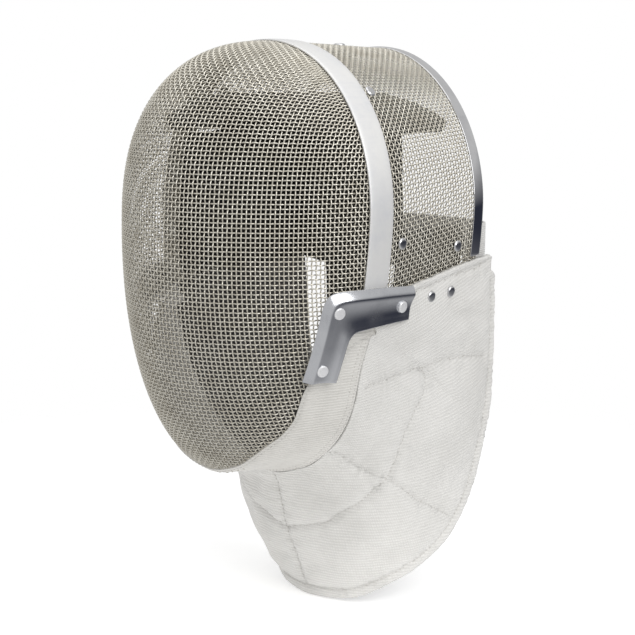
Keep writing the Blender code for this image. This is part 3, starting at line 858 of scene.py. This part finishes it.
def rivet(name, seat, normal, size, head):
    """Spin a head about its axis and stand it on its seat."""
    radius, height = size
    shape = bmesh.new()
    chain = [shape.verts.new((wide * radius, 0.0, up * height)) for wide, up in head]
    edges = [shape.edges.new(pair) for pair in zip(chain, chain[1:])]
    bmesh.ops.spin(
        shape, geom=chain + edges, cent=(0, 0, 0), axis=(0, 0, 1), angle=2.0 * math.pi,
        steps=28, use_merge=True,
    )
    bmesh.ops.remove_doubles(shape, verts=shape.verts, dist=0.00001)
    bmesh.ops.holes_fill(shape, edges=[edge for edge in shape.edges if edge.is_boundary])
    bmesh.ops.recalc_face_normals(shape, faces=shape.faces)
    for face in shape.faces:
        face.smooth = True
    turn = Vector((0.0, 0.0, 1.0)).rotation_difference(normal).to_matrix().to_4x4()
    bmesh.ops.transform(shape, matrix=Matrix.Translation(seat) @ turn, verts=shape.verts)
    mesh = keep_shape(shape, name)
    finish = flat_rivet_steel if head is FLAT_HEAD else rivet_steel
    add_piece(name, mesh, [finish], [name.replace("_head", "_rivet")])


def all_rivets():
    """Every head, on both sides."""
    places = []
    for number, (station, share) in enumerate(BRACKET_RIVETS, 1):
        seat, normal = bracket_point(station, share, BRACKET_LIFT)
        places.append(("bracket_head", number, seat, normal, BRACKET_RIVET, FLAT_HEAD))
    for kind, rows, lift in DOMED_RIVETS:
        for number, (back, up) in enumerate(rows, 1):
            seat = side_point(back * REAR_DEPTH, up * CROWN_HEIGHT)
            normal = side_normal(seat.y, seat.z)
            places.append((kind, number, seat + normal * lift, normal, MESH_RIVET, DOMED_HEAD))
    for side, label in ((1.0, "left"), (-1.0, "right")):
        for kind, number, seat, normal, size, head in places:
            flip = Vector((side, 1.0, 1.0))
            rivet(f"{kind}_{label}_{number}", seat * flip, normal * flip, size, head)
    top = crown_point(0.0, MESH_RIVET_TOP_BACK, BAND_END) + Vector((0.0, 0.0, WIRE_LIFT))
    rivet("mesh_head_top", top, Vector((0.0, 0.0, 1.0)), MESH_RIVET, DOMED_HEAD)
    return 2 * len(places) + 1


print("rivets:", all_rivets())

# %% [markdown]
# The bib hangs from the jaw rim. It is two layers of tough cloth with padding
# between them, so its face swells between the lines of stitching. Its outline
# comes from the same stations as its solid.

# %% Shape of the bib
BIB_STATIONS = (
    ((0.000, 0.000, 0.647), (0.000, 0.175, 0.825), (0.000, 0.386, 1.000)),
    ((0.300, 0.018, 0.621), (0.330, 0.220, 0.815), (0.290, 0.440, 0.993)),
    ((0.617, 0.010, 0.540), (0.620, 0.335, 0.775), (0.523, 0.588, 0.957)),
    ((0.979, -0.026, 0.438), (0.800, 0.440, 0.700), (0.665, 0.850, 0.905)),
    ((0.984, -0.053, 0.340), (0.890, 0.550, 0.620), (0.755, 1.040, 0.835)),
    ((0.998, -0.045, 0.272), (0.940, 0.680, 0.530), (0.825, 1.170, 0.730)),
    ((0.995, 0.090, 0.258), (0.955, 0.820, 0.430), (0.880, 1.240, 0.590)),
    ((0.999, 0.420, 0.248), (0.960, 0.960, 0.350), (0.915, 1.262, 0.480)),
    ((0.998, 0.740, 0.228), (0.962, 1.080, 0.280), (0.932, 1.255, 0.370)),
    ((1.000, 0.985, 0.202), (0.964, 1.140, 0.215), (0.944, 1.238, 0.262)),
    ((0.984, 1.165, 0.152), (0.962, 1.185, 0.158), (0.952, 1.215, 0.168)),
)
BIB_TOP_EDGE = ((0.000, 0.190), (0.395, 0.158), (0.720, 0.135), (0.965, 0.122), (1.145, 0.118))
BORDER_STATIONS = (9.0, 8.0, 6.0, 4.1, 3.1, 2.0, 0.0)
BORDER_END = 17.0 / 3.0
BORDER_THICKNESS = 0.0025
LAST_PLACE = 10
RIM_PLACES = 6.0
SIDE_STATION = 3
SEAM_ROW = 0.30
MIDDLE_ROW = 0.65
SEAM_SHARE = 0.004


def under_bracket(along):
    """Share of the way from the border's end to the end of the rim."""
    return clip((along - BORDER_END) / (RIM_PLACES - BORDER_END))


def border_rim(along):
    """Height and turn of the jaw rim at a place along the border."""
    return rim_place(smooth([(row,) for row in BORDER_STATIONS], along)[0])


def bib_edge(place):
    """Upper edge of the bib's face: along the jaw rim, then along the mesh's side."""
    along = abs(place)
    thin = GAP + BORDER_THICKNESS + CLOTH_CLEARANCE
    lift = thin + (CLOTH_LIFT - thin) * under_bracket(along)
    if along <= RIM_PLACES:
        on_rim = border_rim(along)
        edge = face_point(*on_rim) + face_normal(*on_rim) * lift
    else:
        back, down = smooth(BIB_TOP_EDGE, along - RIM_PLACES)
        edge = side_point(back * REAR_DEPTH, -down * HEM_DROP) + Vector((lift, 0.0, 0.0))
    x = 0.0 if along == 0.0 else math.copysign(edge.x, place)
    return Vector((x, edge.y, edge.z))


def bib_row(row):
    """Points of one row of stations, from the right rear corner to the left."""
    line = []
    for k in range(-LAST_PLACE, LAST_PLACE + 1):
        across, back, down = BIB_STATIONS[abs(k)][row]
        x = across * HALF_WIDTH
        if row == 0 and abs(k) >= SIDE_STATION:
            seat = side_point(back * REAR_DEPTH, -down * HEM_DROP)
            x = across * seat.x + CLOTH_LIFT
        line.append((math.copysign(x, k), back * REAR_DEPTH, -down * HEM_DROP))
    return line


BIB_ROWS = [bib_row(row) for row in range(3)]


def bib_point(place, fall):
    """Point of the bib's face: place from -10 to 10, fall from 0 at the rim to 1."""
    columns = [bib_edge(place)]
    columns += [Vector(smooth(line, place + LAST_PLACE)) for line in BIB_ROWS]
    levels = (0.0, SEAM_ROW, MIDDLE_ROW, 1.0)
    row = sum(fall > level for level in levels[1:3])
    part = (fall - levels[row]) / (levels[row + 1] - levels[row])
    return Vector(smooth(columns, row + part))


def seam_fall(place):
    """Fall at which the border ends and the bib starts, at a place."""
    past = under_bracket(abs(place))
    return SEAM_ROW * (1.0 - past * past * (3.0 - 2.0 * past))


def bib_start(place):
    """Fall at which the bib's cloth starts."""
    return max(seam_fall(place) + math.copysign(SEAM_SHARE, BORDER_END - abs(place)), 0.0)


print("bib hem:", round(-1000 * bib_point(0.0, 1.0).z), "mm below the widest level")

# %% [markdown]
# Lines of stitching cross the bib and hold its layers together. Each line is a
# short table in the bib's own coordinates, read as a smooth curve. The same lines
# later hold the cloth while it swells, sink its grooves and carry the thread.

# %% Lines of stitching
QUILT_LINES = (
    ((5.75, 0.514), (5.56, 0.538), (5.27, 0.547), (4.68, 0.548), (3.75, 0.554), (2.91, 0.567),
     (2.41, 0.554), (1.57, 0.553), (1.10, 0.579), (0.54, 0.592), (0.00, 0.611)),
    ((1.69, 0.320), (2.06, 0.437), (2.54, 0.520), (2.91, 0.567)),
    ((2.91, 0.567), (3.23, 0.632), (3.48, 0.718), (3.85, 0.825), (4.20, 0.944)),
    ((3.51, 0.356), (4.05, 0.410), (4.73, 0.458), (5.53, 0.499), (6.30, 0.544), (6.74, 0.620),
     (7.42, 0.808)),
)
CENTRE_LINE = ((0.0, 0.320), (0.0, 0.500), (0.0, 0.960))
HEM_INSET = 0.008
HEM_SEAM_END = 9.7
TOP_SEAM = (6.3, 9.8)
TOP_SEAM_FALL = 0.06


def bib_inset(place, inset):
    """Fall of a line that runs a fixed distance inside the hem."""
    length = (bib_point(place, 1.0) - bib_point(place, MIDDLE_ROW)).length
    return 1.0 - (1.0 - MIDDLE_ROW) * min(inset / length, 0.9)


def sampled(line, count):
    """Points of a line from its start at 0 to its end at 1."""
    return [line(k / count) for k in range(count + 1)]


def stitch_lines():
    """Every line of stitching as points on the bib's face, left, right and centre."""
    lines = []
    for side in (1.0, -1.0):
        for rows in QUILT_LINES:
            last = len(rows) - 1
            places = sampled(lambda share: smooth(rows, share * last), 40 * last)
            lines.append([bib_point(side * place, fall) for place, fall in places])
        top = sampled(lambda share: TOP_SEAM[0] + (TOP_SEAM[1] - TOP_SEAM[0]) * share, 80)
        lines.append([bib_point(side * place, TOP_SEAM_FALL) for place in top])
    lines.append(sampled(lambda share: bib_point(*smooth(CENTRE_LINE, 2.0 * share)), 80))
    hem = sampled(lambda share: HEM_SEAM_END * (2.0 * share - 1.0), 500)
    lines.append([bib_point(place, bib_inset(place, HEM_INSET)) for place in hem])
    return lines


STITCH_LINES = stitch_lines()


def tree_of(points):
    """Index of points, to find how near a line is."""
    tree = KDTree(len(points))
    for number, point in enumerate(points):
        tree.insert(point, number)
    tree.balance()
    return tree


STITCH_TREE = tree_of([point for line in STITCH_LINES for point in line])
HEM_TREE = tree_of(sampled(lambda share: bib_point(2 * LAST_PLACE * share - LAST_PLACE, 1.0), 500))
print("lines of stitching:", len(STITCH_LINES))

# %% [markdown]
# Padded cloth is stiff where it is sewn and soft between the seams. A cloth
# simulation gives that: the seams, the hem and the upper edge are held, a light
# pressure swells what lies between, and a little spare cloth makes it pucker.

# %% Swell the cloth between its seams
SWELL_CAP = 0.0075
SWELL_FRAMES = 18
EVEN_ROUNDS = 2
RELAX_ROUNDS = 14
CROWDED = ((0.085, -0.020, -0.125), (0.130, 0.080, -0.050))
SEAM_HALF = 0.0010
HOLD_REACH = 0.0035
GROOVE_DEPTH = 0.0020
GROOVE_REACH = 0.0024
PUCKER_DEPTH = 0.0009
PUCKER_REACH = 0.0085
PUCKER_PITCH = 0.0090
HEM_PROUD = 0.0007
RIB_TURN = 0.35
RIB_TURN_FROM = -0.260
RIB_TURN_RISE = 0.210
RIB_PIVOT = 0.030


def rib_height(point):
    """Level of the ribs at a point: level in front, rising to the rear near the top."""
    share = clip((point.z - RIB_TURN_FROM) / RIB_TURN_RISE)
    return point.z - RIB_TURN * share * (point.y - RIB_PIVOT)


def bib_place(u, v):
    """Point of the bib's face on the sheet's own grid."""
    place = 2 * LAST_PLACE * u - LAST_PLACE
    start = bib_start(place)
    return bib_point(place, start * v + 1.0 - v)


def hold_weights(mesh):
    """How firmly each point of the cloth is held: 1 on seams and edges."""
    shape = bmesh.new()
    shape.from_mesh(mesh)
    weights = []
    for vertex in shape.verts:
        near = min(STITCH_TREE.find(vertex.co)[2] - SEAM_HALF, HEM_TREE.find(vertex.co)[2] - HEM_INSET)
        weights.append(1.0 if vertex.is_boundary else 1.0 - clip(near / HOLD_REACH))
    shape.free()
    return weights


def swell(mesh, weights):
    """Let the cloth swell between the held points, within a cap."""
    start = np.array([vertex.co for vertex in mesh.vertices])
    normal = np.array([vertex.normal for vertex in mesh.vertices])
    holder = bpy.data.objects.new("swelling_cloth", mesh)
    COLLECTION.objects.link(holder)
    group = holder.vertex_groups.new(name="held")
    for number, weight in enumerate(weights):
        group.add([number], weight, "REPLACE")
    modifier = holder.modifiers.new("Cloth", "CLOTH")
    set_up(
        modifier.settings, quality=6, mass=0.25, vertex_group_mass="held", air_damping=4.0,
        tension_stiffness=12.0, compression_stiffness=12.0, shear_stiffness=5.0,
        bending_stiffness=1.2, use_pressure=True, uniform_pressure_force=4.0, shrink_min=-0.035,
    )
    modifier.settings.effector_weights.gravity = 0.0
    modifier.collision_settings.use_collision = False
    modifier.point_cache.frame_end = SWELL_FRAMES
    stage = bpy.context.scene
    for number in range(1, SWELL_FRAMES + 1):
        stage.frame_set(number)
    evaluated = holder.evaluated_get(bpy.context.evaluated_depsgraph_get())
    after = np.array([vertex.co for vertex in evaluated.data.vertices])
    stage.frame_set(1)
    bpy.data.objects.remove(holder)
    out = np.sum((after - start) * normal, axis=1)
    print("swelling: up to", round(1000 * out.max(), 1), "mm before the cap")
    soft = SWELL_CAP * np.tanh(np.maximum(out, -0.001) / SWELL_CAP)
    return start + normal * even_out(mesh, soft)[:, None]


def even_out(mesh, values):
    """Average each point's value with its neighbours', to take out single spikes."""
    pairs = np.array([tuple(edge.vertices) for edge in mesh.edges])
    for _ in range(EVEN_ROUNDS):
        total, count = values.copy(), np.ones(len(values))
        for here, there in (pairs.T, pairs.T[::-1]):
            np.add.at(total, here, values[there])
            np.add.at(count, here, 1.0)
        values = total / count
    return values


def relax_corner(mesh):
    """Smooth the crowded part of the sheet behind each bracket."""
    shape = bmesh.new()
    shape.from_mesh(mesh)
    low, high = CROWDED
    crowded = [
        vertex for vertex in shape.verts
        if not vertex.is_boundary
        and all(low[k] < (abs(vertex.co.x), vertex.co.y, vertex.co.z)[k] < high[k] for k in range(3))
    ]
    axes = {f"use_axis_{axis}": True for axis in "xyz"}
    for _ in range(RELAX_ROUNDS):
        bmesh.ops.smooth_vert(shape, verts=crowded, factor=0.5, **axes)
    shape.to_mesh(mesh)
    shape.free()


def finer(mesh, name):
    """Smooth the sheet once, so that its grooves can be narrow."""
    holder = bpy.data.objects.new(name, mesh)
    COLLECTION.objects.link(holder)
    smoother = holder.modifiers.new("Finer", "SUBSURF")
    smoother.levels = smoother.render_levels = 1
    smoother.boundary_smooth = "PRESERVE_CORNERS"
    evaluated = holder.evaluated_get(bpy.context.evaluated_depsgraph_get())
    made = bpy.data.meshes.new_from_object(evaluated)
    made.name = name
    bpy.data.objects.remove(holder)
    return made


def run_lengths(line):
    """Length of a line from its start to each of its points."""
    steps = [0.0] + [(b - a).length for a, b in zip(line, line[1:])]
    return np.cumsum(steps)


def sink_grooves(mesh):
    """Press the seams in, pucker the cloth beside them and leave the hem a little proud."""
    points = [vertex.co.copy() for vertex in mesh.vertices]
    normals = [vertex.normal.copy() for vertex in mesh.vertices]
    runs = [length for line in STITCH_LINES for length in run_lengths(line)]
    for vertex, point, normal in zip(mesh.vertices, points, normals):
        number, near = STITCH_TREE.find(point)[1:]
        along = runs[number] / PUCKER_PITCH
        fold = math.sin(2.0 * math.pi * (along + 0.8 * noise.noise(Vector((along, 0.0, near * 60.0)))))
        strength = 0.6 + noise.noise(Vector((along * 0.4, 7.0, 0.0)))
        pucker = PUCKER_DEPTH * strength * fold * math.exp(-near / PUCKER_REACH)
        groove = GROOVE_DEPTH * math.exp(-((near / GROOVE_REACH) ** 2)) - pucker
        hem = HEM_PROUD if HEM_TREE.find(point)[2] < HEM_INSET - 0.001 else 0.0
        ripple = 0.0006 * noise.noise(point * 60.0) + 0.0003 * noise.noise(point * 160.0)
        vertex.co = point + normal * (hem - groove + ripple)


def map_ribs(mesh):
    """Let the map's height follow the ribs, and its width the way round the neck."""
    layer = mesh.uv_layers.active.data
    for loop in mesh.loops:
        point = mesh.vertices[loop.vertex_index].co
        layer[loop.index].uv.y = rib_height(point)


sheet = sheet_mesh("bib_sheet", 150, 52, bib_place, (0.56, 0.16))
for vertex, place in zip(sheet.vertices, swell(sheet, hold_weights(sheet))):
    vertex.co = place
relax_corner(sheet)
bib_mesh = finer(sheet, "bib_pad")
sink_grooves(bib_mesh)
map_ribs(bib_mesh)
bib_shape = BVHTree.FromPolygons(
    [vertex.co.copy() for vertex in bib_mesh.vertices], [list(face.vertices) for face in bib_mesh.polygons]
)
# The inner face of the bib's wall takes the near-black painted shade colour.
bib_pad = add_piece("bib_pad", bib_mesh, [bib_cloth, bib_inside_painted_shade], ["bib"])
thicken(bib_pad, 0.8 * BIB_THICKNESS, 0.0, inside=1)
print("bib faces:", len(bib_mesh.polygons))

# %% Border along the jaw rim
EDGE_TURN = 0.0022
BORDER_LAP = 0.2
BORDER_DIP = 0.0012


def border_place(u, v):
    """Facing strip whose upper edge turns in towards the wire."""
    place = (BORDER_END + BORDER_LAP) * (2.0 * u - 1.0)
    v = 1.0 - v
    under = BORDER_DIP * clip((abs(place) - BORDER_END + 0.1) / 0.1)
    turned = max(0.0, 1.0 - v / 0.10)
    inward = face_normal(*border_rim(abs(place))) * Vector((math.copysign(1.0, place), 1.0, 1.0))
    point = bib_point(place, v * (SEAM_ROW - SEAM_SHARE))
    return point - inward * (EDGE_TURN * turned * turned + under)


border_mesh = sheet_mesh("border_strip", 180, 14, border_place, (0.46, 0.03))
border = add_piece("border_strip", border_mesh, [border_cloth], ["bib_border"])
border_shape = BVHTree.FromPolygons(
    [vertex.co + SEAT for vertex in border_mesh.vertices],
    [list(face.vertices) for face in border_mesh.polygons],
)
thicken(border, BORDER_THICKNESS, 0.0006)

# %% [markdown]
# The thread is what the eye finds first on sewn cloth. Each stitch is a short
# curve that dips at both ends. The stitches of one piece are one curve object,
# turned into a mesh at the end.

# %% Stitches
STITCH_LENGTH = 0.0015
STITCH_GAP = 0.0018
THREAD_RADIUS = 0.00018


def border_lines():
    """Two lines of stitching along the border's seam and one along its upper edge."""
    places = sampled(lambda share: (BORDER_END - 0.1) * (2.0 * share - 1.0), 400)
    return [
        [bib_point(place, share * (seam_fall(place) - SEAM_SHARE)) for place in places]
        for share in (0.045, 0.86, 0.955)
    ]


def stitches(name, lines, surface):
    """Sew dashes of thread along lines, on a surface."""
    dashes = []
    for line in lines:
        lengths = run_lengths(line)
        points = np.array(line)
        at = 0.5 * STITCH_GAP
        while at + STITCH_LENGTH < lengths[-1]:
            dash = []
            for part, lift in ((0.0, -0.1), (0.22, 1.0), (0.78, 1.0), (1.0, -0.1)):
                where = at + part * STITCH_LENGTH
                point = Vector([np.interp(where, lengths, points[:, axis]) for axis in range(3)])
                near, normal = surface.find_nearest(point)[:2]
                dash.append(near + normal * (lift * THREAD_RADIUS))
            dashes.append(dash)
            at += STITCH_LENGTH + STITCH_GAP
    mesh = tube_mesh(name, dashes, THREAD_RADIUS, 0, True)
    print(name, len(mesh.polygons), "faces")
    return add_piece(name, mesh, [thread])


stitches("bib_thread", STITCH_LINES, bib_shape)
stitches("border_thread", border_lines(), border_shape)

# %% [markdown]
# An elastic band runs round the back opening and holds the mask to the head.

# %% Back strap
STRAP_WIDTH = 0.030
STRAP_THICKNESS = 0.002
STRAP_TOP = -0.011
STRAP_BULGE = 0.038
STRAP_ROUNDNESS = 2.8
STRAP_LAP = 0.008
LAP_SHARE = 0.04
MESH_THICKNESS = 0.002


def strap_place(u, v):
    """Point of the strap: u runs round the back, v up its width."""
    inset = MESH_THICKNESS + GAP
    corner = REAR_DEPTH + 0.5 * REAR_BAND_WIDTH
    wide = side_point(REAR_DEPTH, STRAP_TOP - STRAP_WIDTH).x - inset
    start = REAR_DEPTH - STRAP_LAP
    height = STRAP_TOP - STRAP_WIDTH * (1.0 - v)
    near_end = min(u, 1.0 - u)
    if near_end < LAP_SHARE:
        back = start + (corner - start) * near_end / LAP_SHARE
        return Vector((math.copysign(wide, 0.5 - u), back, height))
    turn = math.pi * (u - LAP_SHARE) / (1.0 - 2.0 * LAP_SHARE)
    side = math.cos(turn)
    across = math.copysign(abs(side) ** (2.0 / STRAP_ROUNDNESS), side)
    behind = max(math.sin(turn), 0.0) ** (2.0 / STRAP_ROUNDNESS)
    return Vector((wide * across, corner + STRAP_BULGE * behind, height))


strap_mesh = sheet_mesh("elastic_strap", 120, 8, strap_place, (0.27, STRAP_WIDTH))
strap = add_piece("elastic_strap", strap_mesh, [elastic_cloth], ["back_strap"])
thicken(strap, STRAP_THICKNESS, 0.0005)

# %% [markdown]
# Inside, dark padded cloth keeps the head off the wire. A sheet hangs under the
# crown, a wing leads in at each side, and small pads line the ears and the back.

# %% Liner
LINER_THICKNESS = 0.012
LINER_EDGE_HEIGHT = 0.066
LINER_RISE = 0.020
LINER_FRONT = -0.038
LINER_BACK = 0.108
LINER_INSET = 0.004
WING_THICKNESS = 0.010
WING_INSET = 0.058
WING_REACH = 0.074
WING_TOP = 0.052
WING_BOTTOM = -0.044
WING_SKEW = 0.012
WING_TUCK = 0.003
EAR_PAD_THICKNESS = 0.008
EAR_PAD_TOP = -0.010
EAR_PAD_FRONT = 0.030
EAR_PAD_MARGIN = 0.004
BACK_PAD_THICKNESS = 0.014
BACK_PAD_BACK = 0.080
BACK_PAD_TOP_HALF = 0.045
BACK_PAD_LEVELS = ((-0.090, 0.017), (-0.070, 0.018), (-0.048, 0.019), (-0.042, 0.050), (-0.010, 0.048))


def liner_height(share):
    """Height of the crown liner's top face at a share of its half-width."""
    return LINER_EDGE_HEIGHT + LINER_RISE * (1.0 - share * share)


def liner_underside(across, back):
    """Height just below the crown liner at a distance to the side and back."""
    edge = side_point(back, LINER_EDGE_HEIGHT).x - LINER_INSET
    return liner_height(min(across / edge, 1.0)) - LINER_THICKNESS - 0.001


def crown_place(u, v):
    """Crown liner, slung from side to side."""
    share = 2.0 * u - 1.0
    back = LINER_FRONT + (LINER_BACK - LINER_FRONT) * v
    edge = side_point(back, LINER_EDGE_HEIGHT).x - LINER_INSET
    return Vector((share * edge, back, liner_height(share)))


def wing_place(u, v):
    """Left wing, from the centre band in towards the head."""
    inset = MESH_THICKNESS + 2.0 * GAP + WING_INSET * u * u * (3.0 - 2.0 * u)
    top = liner_underside(half_width(WING_TOP) - inset, WING_REACH * u)
    bottom = WING_BOTTOM - WING_SKEW * (1.0 - u)
    height = bottom + (top + WING_TUCK - bottom) * v
    return Vector((half_width(height) - inset, BAND_LEAN * height + WING_REACH * u, height))


def ear_place(u, v):
    """Left ear pad, inside the back mesh."""
    rear = REAR_DEPTH - STRAP_LAP - EAR_PAD_MARGIN
    height = EAR_PAD_MARGIN - JAW_DROP + (EAR_PAD_TOP + JAW_DROP - EAR_PAD_MARGIN) * v
    wide = side_point(EAR_PAD_FRONT + (rear - EAR_PAD_FRONT) * u, height)
    return wide - Vector((MESH_THICKNESS + GAP, 0.0, 0.0))


def back_pad_place(u, v):
    """Pad behind the head."""
    across = 1.0 - 2.0 * u
    top = liner_underside(abs(across) * BACK_PAD_TOP_HALF, BACK_PAD_BACK)
    levels = BACK_PAD_LEVELS + ((0.5 * top, 0.047), (top, BACK_PAD_TOP_HALF))
    height, half = smooth(levels, (1.0 - v) * (len(levels) - 1))
    return Vector((across * half, BACK_PAD_BACK, height))


def pad(mesh, thickness, node):
    """Soft pad with rounded edges."""
    piece = add_piece(mesh.name, mesh, [liner_cloth], [node])
    thicken(piece, thickness, 0.4 * thickness)


SIDE_PADS = (
    ("wing_pad_", (10, 16, wing_place, (0.08, 0.11)), WING_THICKNESS, "side_liner_"),
    ("ear_cushion_", (14, 10, ear_place, (0.07, 0.05)), EAR_PAD_THICKNESS, "ear_pad_"),
)
pad(sheet_mesh("crown_pad", 30, 18, crown_place, (0.2, 0.15)), LINER_THICKNESS, "crown_liner")
for label, grid, thickness, node in SIDE_PADS:
    left = sheet_mesh(label + "left", *grid)
    right = mirror_mesh(left, label + "right")
    pad(left, thickness, node + "left")
    pad(right, thickness, node + "right")
pad(sheet_mesh("nape_pad", 12, 14, back_pad_place, (0.1, 0.1)), BACK_PAD_THICKNESS, "back_pad")

# %% [markdown]
# The camera stands to the wearer's left, a little above the middle of the mask.
# Its place and lens were worked out from the outline of the photographed mask.

# %% Camera
CAMERA_PLACE = (0.7769, -0.8276, 0.0211)
CAMERA_TURN = math.radians(43.4)
CAMERA_RISE = math.radians(9.1)
CAMERA_ROLL = math.radians(-0.45)


def add_camera():
    """Stand the camera at the photograph's viewpoint."""
    data = set_up(bpy.data.cameras.new("camera"), lens=84.19, sensor_width=36.0)
    camera = bpy.data.objects.new("camera", data)
    COLLECTION.objects.link(camera)
    place = Matrix.Translation(CAMERA_PLACE)
    for angle, axis in ((CAMERA_TURN, "Z"), (0.5 * math.pi - CAMERA_RISE, "X"), (-CAMERA_ROLL, "Z")):
        place = place @ Matrix.Rotation(angle, 4, axis)
    camera.matrix_world = place
    bpy.context.scene.camera = camera


add_camera()

# %% [markdown]
# The light is a white studio: a large soft panel on the camera's side, one above
# and a weaker one from the front. The room is pale, with a darker stretch behind
# the mask's side, because polished steel shows whatever stands around it.

# %% Light and floor
PANEL_TARGET = (0.0, 0.0, -0.1)


def add_panel(name, place, size, power):
    """Hang one soft light panel and aim it at the mask."""
    data = set_up(bpy.data.lights.new(name, "AREA"), size=size, energy=power)
    panel = bpy.data.objects.new(name, data)
    COLLECTION.objects.link(panel)
    way = Vector(PANEL_TARGET) - Vector(place)
    panel.matrix_world = Matrix.Translation(place) @ way.to_track_quat("-Z", "Y").to_matrix().to_4x4()


def add_room():
    """Pale surroundings, seen as plain white by the camera."""
    world = bpy.data.worlds.new("room")
    bpy.context.scene.world = world
    world.use_nodes = True
    tree = world.node_tree
    tree.nodes.clear()
    way = add_node(tree, "SeparateXYZ", {0: add_node(tree, "TexCoord").outputs["Generated"]}).outputs
    rear = math_node(tree, "MULTIPLY_ADD", way[1], 0.6, math_node(tree, "MULTIPLY", way[0], 0.8))
    dark = ramp_node(tree, rear, 0.50, 0.80)
    low = ramp_node(tree, way[2], 0.30, -0.05)
    near_floor = ramp_node(tree, way[2], -0.60, -0.15, 0.40, 1.0)
    shade = math_node(tree, "MULTIPLY", math_node(tree, "MULTIPLY", dark, low), near_floor)
    tint = mix_node(tree, shade, (0.92, 0.92, 0.92, 1.0), (0.045, 0.050, 0.075, 1.0))
    around = add_node(tree, "Background", {"Color": tint, "Strength": 0.64})
    white = add_node(tree, "Background", {"Color": (1.0, 1.0, 1.0, 1.0), "Strength": 1.0})
    seen = add_node(tree, "LightPath").outputs["Is Camera Ray"]
    pick = add_node(tree, "MixShader", {0: seen, 1: around.outputs[0], 2: white.outputs[0]})
    add_node(tree, "OutputWorld", {"Surface": pick.outputs[0]})


def add_floor():
    """Plain pale floor under the hem, fading out."""
    shape = bmesh.new()
    bmesh.ops.create_circle(shape, cap_ends=True, segments=96, radius=1.1)
    bmesh.ops.translate(shape, vec=(0.0, 0.0, cad_box[0][2] - 0.001), verts=shape.verts)
    mesh = keep_shape(shape, "floor")
    made, tree, shader = new_material("floor_paint")
    middle = {0: add_node(tree, "TexCoord").outputs["Object"], 1: (1.0, 1.0, 0.0)}
    flat = add_node(tree, "VectorMath", middle, operation="MULTIPLY")
    length = add_node(tree, "VectorMath", {0: flat.outputs[0]}, operation="LENGTH")
    feed(tree, shader, {
        "Base Color": (0.92, 0.92, 0.92, 1.0), "Roughness": 0.9,
        "Emission Color": (1.0, 1.0, 1.0, 1.0), "Emission Strength": 0.35,
        "Alpha": ramp_node(tree, length.outputs["Value"], 0.15, 0.7, 1.0, 0.0),
    })
    mesh.materials.append(made)
    floor = bpy.data.objects.new("floor", mesh)
    floor.visible_glossy = False
    COLLECTION.objects.link(floor)


bpy.context.scene.view_settings.view_transform = "Standard"
add_room()
add_floor()
add_panel("key_panel", (1.65, -0.20, 0.8), 1.4, 20.0)
add_panel("top_panel", (0.0, 0.0, 1.6), 1.8, 9.0)
add_panel("front_panel", (-1.2, -1.5, 0.5), 1.2, 2.0)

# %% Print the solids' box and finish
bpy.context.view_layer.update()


def plain(box):
    """Turn a box into lists of numbers."""
    return [[float(value) for value in corner] for corner in box]


print("cad box:", plain(cad_box))
